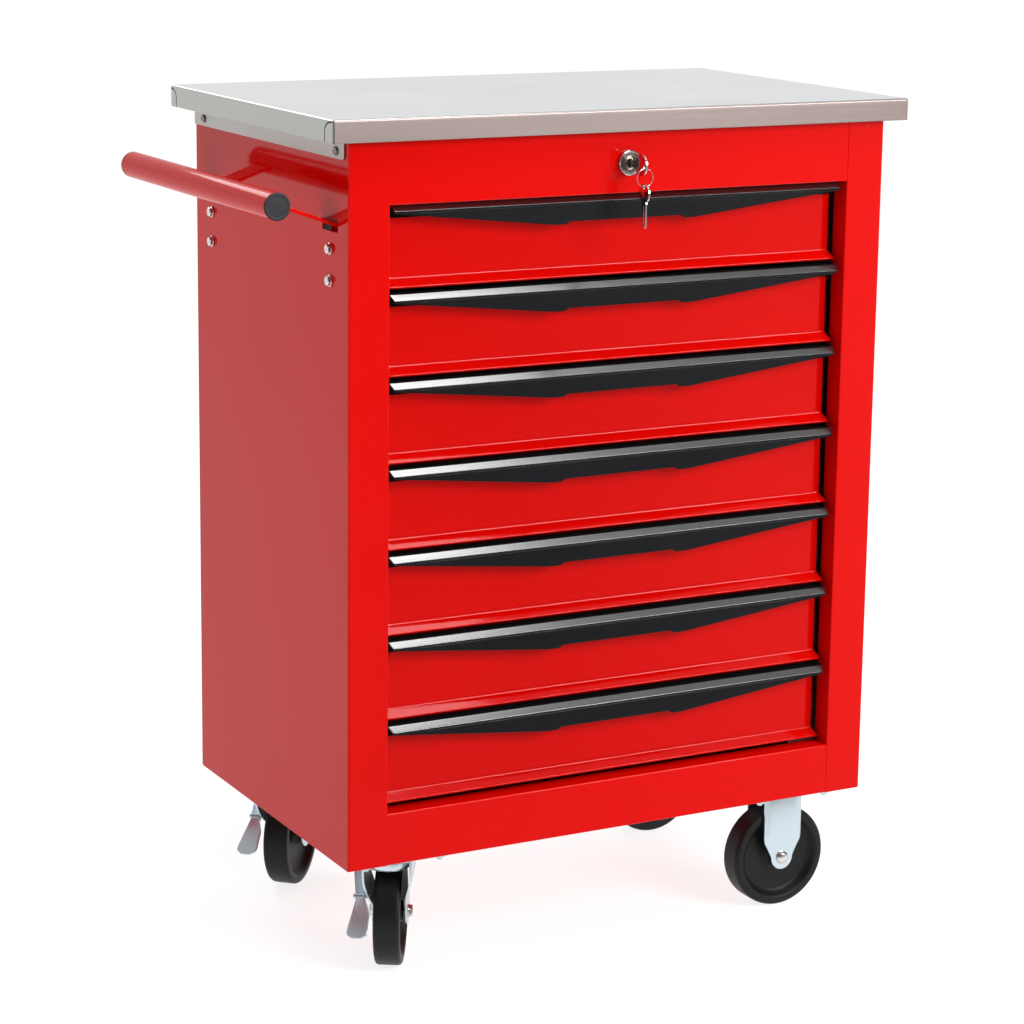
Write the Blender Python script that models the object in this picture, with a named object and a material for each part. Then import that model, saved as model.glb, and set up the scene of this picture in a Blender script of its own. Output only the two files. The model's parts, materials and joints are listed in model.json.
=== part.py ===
"""Rolling tool box: a steel cabinet with seven drawers, a capped worktop, a push
handle on its left side and four casters, modelled as separate solids.

Metres, +Z up.  X runs to the right of a person facing the drawers, the drawers
face -Y, and the floor is Z = 0.  The row's origin is the middle of the bottom of
the whole object's box, so the cabinet itself sits a little off it.
"""
import bpy
import bmesh
from math import sin, cos, pi, radians
from mathutils import Vector, Matrix

MM = 0.001

# ---------------------------------------------------------------- cabinet, mm
BODY_W = 680.0            # outside width of the steel body
BODY_D = 425.0            # outside depth
BODY_H = 806.5            # bottom edge of the body to the worktop's lower lip edge
BASE_Z = 153.0            # bottom edge of the body above the floor
SHEET = 1.2               # steel sheet
GAP = 0.3                 # clearance between touching pieces
BODY_TOP = 809.7          # top of the body inside the worktop lip
OPEN_HALF = 291.6         # half width of the drawer opening
STILE_FOLD = 25.5         # depth of the folds behind the front face
RAIL_BOT = 60.0           # height of the bottom rail
RAIL_TOP = 737.5          # underside of the top rail

# ---------------------------------------------------------------- worktop, mm
TOP_SIDE = 24.5           # overhang on each side
TOP_FRONT = 13.0
TOP_BACK = 18.0
LIP_H = 25.0
TOP_SHEET = 1.2

# ---------------------------------------------------------------- drawers, mm
DRAWERS = 7
PITCH = 96.4
LIP_Z = 66.0              # lower lip of the lowest drawer front
FRONT_HALF = 289.0
FRONT_Y = 25.0            # flat of a drawer front behind the body's front face
FRONT_T = 3.0
FRONT_H = 91.0
BOX_HALF = 276.0
BOX_BACK = 186.0          # outside of the drawer's back wall, from the body's middle
BOX_LO, BOX_HI = 12.0, 70.0
SLIDE_Z = 35.0            # middle of the slides above the drawer front's lip
TRAVEL = 300.0

# ---------------------------------------------------------------- side handle, mm
TUBE_R = 15.0
TUBE_X, TUBE_Z = -420.0, 742.0
TUBE_HALF = 208.0
BRACKET_Y = 165.5
BRACKET_W = 38.0

# ---------------------------------------------------------------- lock, mm
LOCK_Z = 771.0
KEY_OUT = 28.0            # middle of the key's bow in front of the body's face

# ---------------------------------------------------------------- casters, mm
CASTER_X, CASTER_Y = 260.5, 150.0
WHEEL_R, WHEEL_HALF = 62.5, 15.5
AXLE_Z = WHEEL_R - BASE_Z          # axle below the body's bottom edge
LEG_IN, LEG_T = 18.0, 2.5
TRAIL = 32.0
SWIVEL_DEG = {"front": 31.0, "rear": 43.0}

# ---------------------------------------------------------------- row origin, mm
FRONT_MOST = BODY_D / 2 + KEY_OUT + 12.0     # the inserted key's bow in front
X_LO = TUBE_X - TUBE_R
X_HI = BODY_W / 2 + TOP_SIDE
Y_LO = -FRONT_MOST
Y_HI = BODY_D / 2 + TOP_BACK
X_OFF = -(X_LO + X_HI) / 2
Y_OFF = -(Y_LO + Y_HI) / 2

for o in list(bpy.data.objects):
    bpy.data.objects.remove(o, do_unlink=True)

scene = bpy.context.scene
ROOT = bpy.data.objects.new("row_origin", None)
scene.collection.objects.link(ROOT)
ROOT.location = (X_OFF * MM, Y_OFF * MM, 0.0)

W2, D2 = BODY_W / 2, BODY_D / 2
Y0 = -D2                           # the body's front face

# ---------------------------------------------------------------- materials
MATS = {}


def material(name, color, rough, metal, coat=0.0):
    if name not in MATS:
        m = bpy.data.materials.new(name)
        m.use_nodes = True
        b = m.node_tree.nodes["Principled BSDF"]
        b.inputs["Base Color"].default_value = (*color, 1.0)
        b.inputs["Roughness"].default_value = rough
        b.inputs["Metallic"].default_value = metal
        b.inputs["Coat Weight"].default_value = coat
        MATS[name] = m
    return MATS[name]


RED = ("red_enamel", (0.74, 0.012, 0.008), 0.28, 0.0, 0.6)
STEEL = ("brushed_stainless", (0.62, 0.61, 0.60), 0.32, 1.0)
ZINC = ("zinc_plate", (0.66, 0.68, 0.70), 0.26, 1.0)
CHROME = ("chrome", (0.80, 0.80, 0.80), 0.10, 1.0)
BLACK = ("black_plastic", (0.020, 0.021, 0.023), 0.42, 0.0)
TYRE = ("wheel_black", (0.018, 0.018, 0.019), 0.50, 0.0)
BOARD = ("fibreboard", (0.42, 0.30, 0.19), 0.80, 0.0)
GALV = ("galvanised", (0.55, 0.56, 0.57), 0.38, 1.0)


# ---------------------------------------------------------------- mesh helpers
def build(name, verts, faces, mat, origin=(0, 0, 0), rot=None, smooth=None):
    """A closed mesh from points in mm in the cabinet's own frame (Z from the
    body's bottom edge), with its origin at the given point."""
    me = bpy.data.meshes.new(name)
    ox, oy, oz = origin
    pts = [((x - ox) * MM, (y - oy) * MM, (z - oz) * MM) for x, y, z in verts]
    me.from_pydata(pts, [], faces)
    bm = bmesh.new()
    bm.from_mesh(me)
    bmesh.ops.recalc_face_normals(bm, faces=bm.faces)
    bm.to_mesh(me)
    bm.free()
    ob = bpy.data.objects.new(name, me)
    scene.collection.objects.link(ob)
    ob.parent = ROOT
    ob.location = (ox * MM, oy * MM, (oz + BASE_Z) * MM)
    if mat:
        own = material(*mat).copy()
        own.name = name + "_" + mat[0]
        me.materials.append(own)
    if smooth:
        me.shade_smooth()
        me.set_sharp_from_angle(angle=radians(smooth))
    return ob


def loft(name, rings, mat, origin=(0, 0, 0), closed=False, smooth=None):
    """Skin a row of rings that all have the same number of points."""
    n = len(rings[0])
    verts = [p for r in rings for p in r]
    faces = []
    m = len(rings)
    for i in range(m if closed else m - 1):
        a, b = i * n, ((i + 1) % m) * n
        for j in range(n):
            k = (j + 1) % n
            faces.append((a + j, a + k, b + k, b + j))
    if not closed:
        faces.append(tuple(range(n)))
        faces.append(tuple(range((m - 1) * n, m * n)))
    return build(name, verts, faces, mat, origin, smooth=smooth)


def prism(name, outline, axis, lo, hi, mat, origin=(0, 0, 0), smooth=None):
    """Extrude a plane outline along X (outline in Y, Z), Y (X, Z) or Z (X, Y)."""
    def at(p, t):
        if axis == "X":
            return (t, p[0], p[1])
        if axis == "Y":
            return (p[0], t, p[1])
        return (p[0], p[1], t)
    return loft(name, [[at(p, lo) for p in outline], [at(p, hi) for p in outline]],
                mat, origin, smooth=smooth)


def box(name, x, y, z, mat=None, origin=(0, 0, 0)):
    return prism(name, [(x[0], y[0]), (x[1], y[0]), (x[1], y[1]), (x[0], y[1])],
                 "Z", z[0], z[1], mat, origin)


def turned(name, profile, axis, centre, segs, mat, origin=(0, 0, 0), smooth=35, flats=False):
    """Turn a closed profile of (radius, position) about an axis through centre.
    Points at radius 0 meet on the axis.  With flats, the sides touch the true
    circle at their middles, and one of them faces straight down."""
    verts, faces, rows = [], [], []
    if flats:
        profile = [(r / cos(pi / segs), t) for r, t in profile]
    for r, t in profile:
        row = []
        for k in range(1 if r == 0 else segs):
            a = 2 * pi * (k + (0.5 if flats else 0)) / segs
            u, v = r * cos(a), r * sin(a)
            if axis == "X":
                p = (centre[0] + t, centre[1] + u, centre[2] + v)
            elif axis == "Y":
                p = (centre[0] + u, centre[1] + t, centre[2] + v)
            else:
                p = (centre[0] + u, centre[1] + v, centre[2] + t)
            row.append(len(verts))
            verts.append(p)
        rows.append(row)
    m = len(rows)
    for i in range(m):
        a, b = rows[i], rows[(i + 1) % m]
        if len(a) == 1 and len(b) == 1:
            continue
        for k in range(segs):
            l = (k + 1) % segs
            if len(a) == 1:
                faces.append((a[0], b[l], b[k]))
            elif len(b) == 1:
                faces.append((a[k], a[l], b[0]))
            else:
                faces.append((a[k], a[l], b[l], b[k]))
    return build(name, verts, faces, mat, origin, smooth=smooth)


def rod(name, axis, centre, r, lo, hi, segs=16, mat=None, origin=(0, 0, 0)):
    return turned(name, [(0, lo), (r, lo), (r, hi), (0, hi)], axis, centre, segs, mat, origin)


def combine(main, tools, kinds, smooth=None):
    """Join or cut with a Boolean per tool, then keep the result as a plain mesh."""
    for t, kind in zip(tools, kinds):
        t.hide_render = True
        t.display_type = 'WIRE'
        mod = main.modifiers.new("b", 'BOOLEAN')
        mod.operation = kind
        mod.solver = 'EXACT'
        mod.object = t
    bpy.context.view_layer.update()
    dg = bpy.context.evaluated_depsgraph_get()
    me = bpy.data.meshes.new_from_object(main.evaluated_get(dg))
    old = main.data
    mats = [m for m in old.materials]
    main.modifiers.clear()
    main.data = me
    me.name = main.name
    me.materials.clear()
    for m in mats:
        me.materials.append(m)
    for p in me.polygons:
        p.material_index = 0
    bpy.data.meshes.remove(old)
    for t in tools:
        data = t.data
        bpy.data.objects.remove(t, do_unlink=True)
        bpy.data.meshes.remove(data)
    if smooth:
        me.shade_smooth()
        me.set_sharp_from_angle(angle=radians(smooth))
    return main


def fuse(main, tools, smooth=None):
    return combine(main, tools, ['UNION'] * len(tools), smooth)


def carve(main, tools, smooth=None):
    return combine(main, tools, ['DIFFERENCE'] * len(tools), smooth)


# ---------------------------------------------------------------- worktop
def rounded_rect(x0, x1, y0, y1, r, n=3):
    pts = []
    for cx, cy, a0 in ((x1 - r, y1 - r, 0), (x0 + r, y1 - r, 90),
                       (x0 + r, y0 + r, 180), (x1 - r, y0 + r, 270)):
        for k in range(n + 1):
            a = radians(a0 + 90 * k / n)
            pts.append((cx + r * cos(a), cy + r * sin(a)))
    return pts


TX0, TX1 = -W2 - TOP_SIDE, W2 + TOP_SIDE
TY0, TY1 = -D2 - TOP_FRONT, D2 + TOP_BACK
TOP_Z = BODY_H + LIP_H


def top_ring(inset, z, r):
    return [(x, y, z) for x, y in rounded_rect(TX0 + inset, TX1 - inset, TY0 + inset, TY1 - inset, r)]


loft("worktop_sheet", [
    top_ring(TOP_SHEET, TOP_Z - TOP_SHEET, 2.8),
    top_ring(TOP_SHEET, BODY_H, 2.8),
    top_ring(0.0, BODY_H, 4.0),
    top_ring(0.0, TOP_Z - 2.6, 4.0),
    top_ring(0.8, TOP_Z - 0.7, 3.6),
    top_ring(2.6, TOP_Z, 2.6),
], STEEL, smooth=30)

prism("worktop_core", [(x, y) for x, y in rounded_rect(TX0 + 1.8, TX1 - 1.8, TY0 + 1.8, TY1 - 1.8, 2.4, 1)],
      "Z", BODY_TOP + GAP, TOP_Z - TOP_SHEET - GAP, BOARD)

SKIRT_Z0 = BODY_H - 20.0
SCREW_Y, SCREW_Z = 184.0, BODY_H - 11.7


def skirt(name, side):
    """Stainless angle under the worktop's side overhang, screwed to the body."""
    s = side
    prof = [(s * (W2 + GAP), SKIRT_Z0), (s * (W2 + GAP + 1.5), SKIRT_Z0),
            (s * (W2 + GAP + 1.5), BODY_TOP - 1.5), (s * (W2 + 22.8), BODY_TOP - 1.5),
            (s * (W2 + 22.8), BODY_TOP), (s * (W2 + GAP), BODY_TOP)]
    ob = prism(name, prof, "Y", -D2 + 8.0, D2 - 0.5, STEEL)
    cuts = [rod("c", "X", (s * W2, y, SCREW_Z), 2.5, -5, 5, 12) for y in (-SCREW_Y, SCREW_Y)]
    # the lower front corner of the strip is cut off round
    cuts.append(prism("c", [(-D2 + 7.0, SKIRT_Z0 - 1), (-D2 + 13.0, SKIRT_Z0 - 1), (-D2 + 9.6, SKIRT_Z0 + 1.8),
                            (-D2 + 7.0, SKIRT_Z0 + 6.0)], "X", s * (W2 - 3), s * (W2 + 6), None))
    return carve(ob, cuts)


skirt("worktop_bracket_left", -1)
skirt("worktop_bracket_right", 1)


def skirt_screws(name, side):
    """Two pan-head screws into one threaded strip behind the side panel."""
    s = side
    x_in = s * (W2 - SHEET - GAP)
    lo, hi = sorted((x_in, x_in - s * 2.0))
    strip = box(name, (lo, hi), (-SCREW_Y - 6, SCREW_Y + 6), (SCREW_Z - 6, SCREW_Z + 6), ZINC)
    parts = []
    for y in (-SCREW_Y, SCREW_Y):
        face = W2 + GAP + 1.5 + GAP
        prof = [(0, W2 - SHEET - GAP - 1.5), (2.2, W2 - SHEET - GAP - 1.5), (2.2, face), (4.3, face),
                (4.1, face + 1.3), (2.6, face + 2.2), (0, face + 2.5)]
        parts.append(turned("t", [(r, s * t) for r, t in prof], "X", (0, y, SCREW_Z), 12, None))
    return fuse(strip, parts, smooth=30)


skirt_screws("bracket_screws_left", -1)
skirt_screws("bracket_screws_right", 1)


# ---------------------------------------------------------------- steel body
SLOT_Z0, SLOT_Z1 = 707.0, 719.5
BOLT_Z = (688.0, 653.5)


def side_panel(name, s):
    """One sheet: rear flange, side, front stile and the fold back beside the drawers."""
    yb = D2 - SHEET - GAP
    plan = [(W2 - 14, yb), (W2, yb), (W2, -D2), (OPEN_HALF, -D2), (OPEN_HALF, -D2 + STILE_FOLD),
            (OPEN_HALF + SHEET, -D2 + STILE_FOLD), (OPEN_HALF + SHEET, -D2 + SHEET), (W2 - SHEET, -D2 + SHEET),
            (W2 - SHEET, yb - SHEET), (W2 - 14, yb - SHEET)]
    ob = prism(name, [(s * x, y) for x, y in plan], "Z", 0.0, BODY_TOP, RED)
    cuts = [rod("c", "X", (s * W2, y, SCREW_Z), 2.6, -5, 5, 12) for y in (-SCREW_Y, SCREW_Y)]
    if s < 0:
        for y in (-BRACKET_Y, BRACKET_Y):
            cuts.append(box("c", (-W2 - 4, -W2 + 4), (y - BRACKET_W / 2 - 1, y + BRACKET_W / 2 + 1), (SLOT_Z0, SLOT_Z1)))
            for z in BOLT_Z:
                cuts.append(rod("c", "X", (-W2, y, z), 4.4, -5, 5, 12))
    return carve(ob, cuts)


side_panel("side_panel_left", -1)
side_panel("side_panel_right", 1)

box("back_panel", (-W2 + GAP, W2 - GAP), (D2 - SHEET, D2), (GAP, BODY_TOP - GAP), RED)

top_rail = prism("top_rail", [(-D2, RAIL_TOP), (-D2 + STILE_FOLD, RAIL_TOP), (-D2 + STILE_FOLD, RAIL_TOP + SHEET),
                              (-D2 + SHEET, RAIL_TOP + SHEET), (-D2 + SHEET, BODY_TOP - SHEET),
                              (-D2 + STILE_FOLD, BODY_TOP - SHEET), (-D2 + STILE_FOLD, BODY_TOP), (-D2, BODY_TOP)],
                 "X", -OPEN_HALF + GAP, OPEN_HALF - GAP, RED)
carve(top_rail, [rod("c", "Y", (0, Y0, LOCK_Z), 11.3, -6, 6, 24)])

prism("bottom_rail", [(-D2, 0), (-D2, RAIL_BOT), (-D2 + STILE_FOLD, RAIL_BOT), (-D2 + STILE_FOLD, RAIL_BOT - SHEET),
                      (-D2 + SHEET, RAIL_BOT - SHEET), (-D2 + SHEET, SHEET), (-D2 + STILE_FOLD, SHEET),
                      (-D2 + STILE_FOLD, 0)],
      "X", -OPEN_HALF + GAP, OPEN_HALF - GAP, RED)

box("base_panel", (-W2 + SHEET + GAP, W2 - SHEET - GAP), (-D2 + STILE_FOLD + 0.6, D2 - 2 * SHEET - 2 * GAP - 0.4),
    (0.0, 2.0), RED)


# ---------------------------------------------------------------- slides in the body
def lip_z(k):
    """Lower lip of drawer k's front, counted from the top."""
    return LIP_Z + PITCH * (DRAWERS - k)


def slide_rack(name, s):
    """Two posts with a channel for each drawer, welded into one frame."""
    web_o, web_i, tip = 291.0, 289.5, 279.0
    posts = []
    for sy in (-1, 1):
        plan = [(W2 - SHEET - 0.4, sy * 130.0), (290.7, sy * 130.0), (290.7, sy * 104.0), (291.9, sy * 104.0),
                (291.9, sy * 128.8), (W2 - SHEET - 0.4, sy * 128.8)]
        posts.append(prism(name if not posts else "t", [(s * x, y) for x, y in plan], "Z", 5.0, 760.0,
                           GALV if not posts else None))
    tools = posts[1:]
    for k in range(1, DRAWERS + 1):
        zc = lip_z(k) + SLIDE_Z
        prof = [(web_o, -17.5), (tip, -17.5), (tip, -16.3), (web_i, -16.3), (web_i, 16.3), (tip, 16.3),
                (tip, 17.5), (web_o, 17.5)]
        tools.append(prism("t", [(s * x, zc + z) for x, z in prof], "Y", -180.0, 190.0, None))
    return fuse(posts[0], tools)


slide_rack("slide_rack_left", -1)
slide_rack("slide_rack_right", 1)


# ---------------------------------------------------------------- drawers
def drawer_box_mesh():
    """Drawer 7, the lowest: front with its flared lip, tray and the two slide bars."""
    z = lip_z(DRAWERS)
    fy = Y0 + FRONT_Y
    front = [(fy, z + FRONT_H), (fy, z + 11.0), (Y0 + 17.0, z + 3.4), (Y0 + 16.0, z + 1.6), (Y0 + 16.8, z + 0.2),
             (Y0 + 19.5, z), (fy + 2.0, z + 5.5), (fy + FRONT_T, z + 11.0), (fy + FRONT_T, z + FRONT_H)]
    ob = prism("drawer_box_7", front, "X", -FRONT_HALF, FRONT_HALF, RED)
    ins = SHEET
    yf, yb = fy + FRONT_T - 0.8, BOX_BACK
    ring = [(-BOX_HALF, yf), (BOX_HALF, yf), (BOX_HALF, yb), (-BOX_HALF, yb)]
    inner = [(-BOX_HALF + ins, yf + ins), (BOX_HALF - ins, yf + ins), (BOX_HALF - ins, yb - ins),
             (-BOX_HALF + ins, yb - ins)]
    tray = loft("t", [[(x, y, z + BOX_LO + ins) for x, y in inner], [(x, y, z + BOX_HI) for x, y in inner],
                      [(x, y, z + BOX_HI) for x, y in ring], [(x, y, z + BOX_LO) for x, y in ring]], None)
    bars = []
    for s in (-1, 1):
        lo, hi = sorted((s * (BOX_HALF - 0.6), s * 287.5))
        bars.append(box("t", (lo, hi), (-178.0, 184.0), (z + SLIDE_Z - 12, z + SLIDE_Z + 12)))
    return fuse(ob, [tray] + bars)


def pull_mesh():
    """Drawer pull of drawer 7: a folded strip whose front face is deepest on both
    sides of the middle, with a sloping top and a flange on the drawer front."""
    z = lip_z(DRAWERS)
    zt = z + 84.4

    def depth(x):
        a = abs(x)
        if a <= 72.0:
            return 20.0
        if a <= 73.5:
            return 20.0 + 3.0 * (a - 72.0) / 1.5
        if a <= 89.0:
            return 23.0
        return 23.0 + (3.6 - 23.0) * (a - 89.0) / (284.0 - 89.0)

    rings = []
    for x in (-284.0, -240.0, -89.0, -81.0, -73.5, -72.0, 0.0, 72.0, 73.5, 81.0, 89.0, 240.0, 284.0):
        d = depth(x)

        def sx(y):
            """The ends are cut slanting: wider at the back than at the front."""
            return x + (1 if x > 0 else -1) * (y - 2.0) / 22.7 * 4.5 if abs(x) == 284.0 else x
        sec = [(2.0, zt - 1.6), (3.6, zt), (24.7, zt + 6.2), (24.7, zt - 8.0), (22.7, zt - 8.0), (22.7, zt + 3.2),
               (5.6, zt - 1.9), (4.8, zt - max(d, 2.9)), (2.6, zt - max(d, 2.9)), (2.0, zt - max(d, 2.9) + 0.8)]
        rings.append([(sx(y), Y0 + y, zz) for y, zz in sec])
    return loft("drawer_pull_7", rings, BLACK)


d7 = drawer_box_mesh()
p7 = pull_mesh()
for k in range(1, DRAWERS):
    for src, stem in ((d7, "drawer_box_"), (p7, "drawer_pull_")):
        me = src.data.copy()
        me.name = stem + str(k)
        own = src.data.materials[0].copy()
        own.name = stem + str(k) + "_paint"
        me.materials[0] = own
        ob = bpy.data.objects.new(stem + str(k), me)
        scene.collection.objects.link(ob)
        ob.parent = ROOT
        ob.location = src.location + Vector((0, 0, PITCH * (DRAWERS - k) * MM))

# ---------------------------------------------------------------- side handle
TC = (TUBE_X, 0, TUBE_Z)
turned("handle_tube", [(TUBE_R, -TUBE_HALF), (TUBE_R, TUBE_HALF), (TUBE_R - 1.5, TUBE_HALF), (TUBE_R - 1.5, -TUBE_HALF)],
       "Y", TC, 24, RED)
for nm, s in (("front", -1), ("rear", 1)):
    prof = [(0, 192.0), (13.2, 192.0), (13.2, TUBE_HALF + GAP), (15.0, TUBE_HALF + GAP), (15.0, 209.2), (14.0, 210.0),
            (0, 210.0)]
    turned("handle_cap_" + nm, [(r, s * t) for r, t in prof], "Y", TC, 24, BLACK)
    yc = s * BRACKET_Y
    slope = 0.358
    xi, xo, xe = -(W2 - SHEET - GAP - 4.0), -(W2 - SHEET - GAP), -404.7

    def arm(x, dz):
        return 715.4 + dz + (-339.4 - x) * slope
    br = prism("handle_bracket_" + nm, [(xo, 640.0), (xo, arm(xo, -2.1)), (xe, arm(xe, -2.1)), (xe, arm(xe, 2.1)),
                                        (xi, arm(xi, 2.1)), (xi, 640.0)], "Y", yc - BRACKET_W / 2, yc + BRACKET_W / 2, RED)
    carve(br, [rod("c", "X", (-336, yc, z), 4.4, -8, 8, 12) for z in BOLT_Z])
    plate = box("handle_bolts_" + nm, (xi + GAP, xi + GAP + 3.0), (yc - 11, yc + 11), (642.5, 699.0), ZINC)
    bolts = []
    for z in BOLT_Z:
        prof = [(0, xi + 5.5), (4.0, xi + 5.5), (4.0, -W2 - GAP), (6.6, -W2 - GAP), (6.6, -W2 - GAP - 2.6),
                (5.2, -W2 - GAP - 4.0), (0, -W2 - GAP - 4.6)]
        bolts.append(turned("t", prof, "X", (0, yc, z), 12, None))
    fuse(plate, bolts, smooth=30)

# ---------------------------------------------------------------- lock and keys
LC = (0, Y0, LOCK_Z)
turned("lock_body", [(8.3, -3.4), (9.6, -4.0), (11.0, -5.0), (12.4, -4.6), (13.2, -3.2), (13.2, -GAP), (11.0, -GAP),
                     (11.0, 24.0), (8.3, 24.0)], "Y", LC, 20, CHROME)
turned("lock_nut", [(11.3, SHEET + GAP), (15.5, SHEET + GAP), (15.5, 5.0), (11.3, 5.0)], "Y", LC, 20, ZINC, flats=True)

plug = rod("lock_plug", "Y", LC, 8.0, -3.0, 30.0, 24, CHROME, origin=(0, Y0, LOCK_Z))
cam = prism("t", [(-6, -7), (6, -7), (6, 4), (3.5, 20), (-3.5, 20), (-6, 4)], "Y", Y0 + 26.0, Y0 + 28.5, None)
for v in cam.data.vertices:
    v.co.z += LOCK_Z * MM
slot = box("c", (-1.3, 1.3), (Y0 - 6, Y0 + 16.5), (LOCK_Z - 4.8, LOCK_Z + 4.8))
combine(plug, [cam, slot], ['UNION', 'DIFFERENCE'], smooth=30)


def key_solid(name, mat, along, centre, bow_r, bow_c, hole_c, hole_r, shank, teeth, origin):
    """A flat key 2 mm thick in a plane across X.  Lengths run from the bow's
    middle to the blade's tip; along maps (length, height) to (Y, Z)."""
    pts = []
    sh = shank["half"]
    n = 22
    a0 = 0.42
    for k in range(n + 1):
        a = a0 + (2 * pi - 2 * a0) * k / n
        pts.append((bow_r * cos(a), bow_r * bow_c * sin(a)))
    end = shank["end"]
    low = [(bow_r + 2.5, -sh), (end - 3, -sh), (end, -sh + 3)]
    up = [(end, sh - 3)]
    x = end - 3
    up.append((x, sh))
    for t in range(teeth):
        up += [(x - 1.6, sh - 1.8), (x - 3.2, sh)]
        x -= 3.2
    up.append((bow_r + 2.5, sh))
    poly = pts + low + up
    body = prism(name, [along(p) for p in poly], "X", centre - 1.0, centre + 1.0, mat, origin)
    cy, cz = along(hole_c)
    return carve(body, [rod("c", "X", (centre, cy, cz), hole_r, -4, 4, 14)])


BOW_Y = Y0 - KEY_OUT
RING_Y = BOW_Y - 8.0
RING_TOP = 768.0          # middle of the wire where it passes the inserted key's hole
RING_R, WIRE_R = 10.0, 0.8
HOLE_R = 2.3

key_solid("key", CHROME, lambda p: (BOW_Y + p[0], LOCK_Z + p[1]), 0.0, 12.0, 1.0, (-8.0, -1.9), HOLE_R,
          {"half": 3.9, "end": 42.0}, 4, (0, Y0, LOCK_Z))

ring_pts = []
for k in range(28):
    a = 2 * pi * k / 28
    row = []
    for j in range(6):
        b = 2 * pi * j / 6
        rr = RING_R + WIRE_R * cos(b)
        row.append((rr * sin(a), RING_Y + WIRE_R * sin(b), RING_TOP - RING_R + rr * cos(a)))
    ring_pts.append(row)
loft("key_ring", ring_pts, CHROME, origin=(0, RING_Y, RING_TOP), closed=True, smooth=60)

# ---------------------------------------------------------------- lock linkage
# the cam pushes a flat rod to the back, which lowers a hooked bar behind the drawers
ROD_Z = LOCK_Z + 24.0
box("lock_rod", (-9.0, 9.0), (Y0 + 22.0, 196.0), (ROD_Z, ROD_Z + 3.0), ZINC, origin=(0, Y0 + 22.0, ROD_Z))
bar = box("lock_bar", (-12.0, 12.0), (202.0, 204.0), (70.0, 786.0), ZINC, origin=(0, 203.0, 70.0))
hooks = []
for k in range(1, DRAWERS + 1):
    z = lip_z(k)
    hooks.append(prism("t", [(203.0, z + 86), (176.0, z + 86), (176.0, z + 75), (179.5, z + 75), (179.5, z + 81.5),
                             (203.0, z + 81.5)], "X", -5.0, 5.0, None))
fuse(bar, hooks)


# ---------------------------------------------------------------- casters
def wheel_profile():
    w = WHEEL_HALF
    half = [(5.3, 15.2), (13.0, 15.2), (17.0, 6.5), (44.0, 6.0), (52.5, w), (59.5, w)]
    return half + [(WHEEL_R, w - 3.0), (WHEEL_R, -w + 3.0)] + [(r, -t) for r, t in reversed(half)]


def place(verts_obj, angle, cx, cy):
    """Turn a piece built about the Z axis by an angle and set it at a caster."""
    m = Matrix.Rotation(angle, 4, 'Z')
    verts_obj.data.transform(m)
    verts_obj.data.update()
    return verts_obj


def leg_outline():
    z = AXLE_Z
    return [(-26, -1.8), (-26, -69), (-17.5, z), (-13.5, z - 9.5), (-6.5, z - 15), (6.5, z - 15), (13.5, z - 9.5),
            (17.5, z), (26, -69), (26, -1.8)]


def axle_profile(half, head):
    return [(0, -half - head), (6.0, -half - head), (8.0, -half - head + 1.6), (8.0, -half - GAP), (5.0, -half - GAP),
            (5.0, half + GAP), (8.0, half + GAP), (8.0, half + head - 1.6), (6.0, half + head), (0, half + head)]


OUT = LEG_IN + LEG_T
for nm, sy in (("front", -1), ("rear", 1)):
    cx, cy = CASTER_X, sy * CASTER_Y
    plate = box("fixed_caster_bracket_" + nm, (cx - 57, cx + 57), (cy - 51, cy + 51), (-3.3, -GAP), ZINC,
                origin=(cx, cy, 0))
    legs = [prism("t", [(cx + x, z) for x, z in leg_outline()], "Y", cy + s * LEG_IN, cy + s * OUT, None)
            for s in (-1, 1)]
    fuse(plate, legs)
    carve(plate, [rod("c", "Y", (cx, cy, AXLE_Z), 5.3, -30, 30, 16)])
    turned("wheel_fixed_" + nm, wheel_profile(), "Y", (cx, cy, AXLE_Z), 24, TYRE, origin=(cx, cy, AXLE_Z),
           flats=True)
    turned("axle_fixed_" + nm, axle_profile(OUT, 5.0), "Y", (cx, cy, AXLE_Z), 16, ZINC, origin=(cx, cy, AXLE_Z))

# A swivel caster is built with its trail along +Y and its axle along X, then turned.
PIV_P, PIV_Z = 8.0, -60.0      # brake pivot, ahead of the swivel axis, below the body


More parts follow.
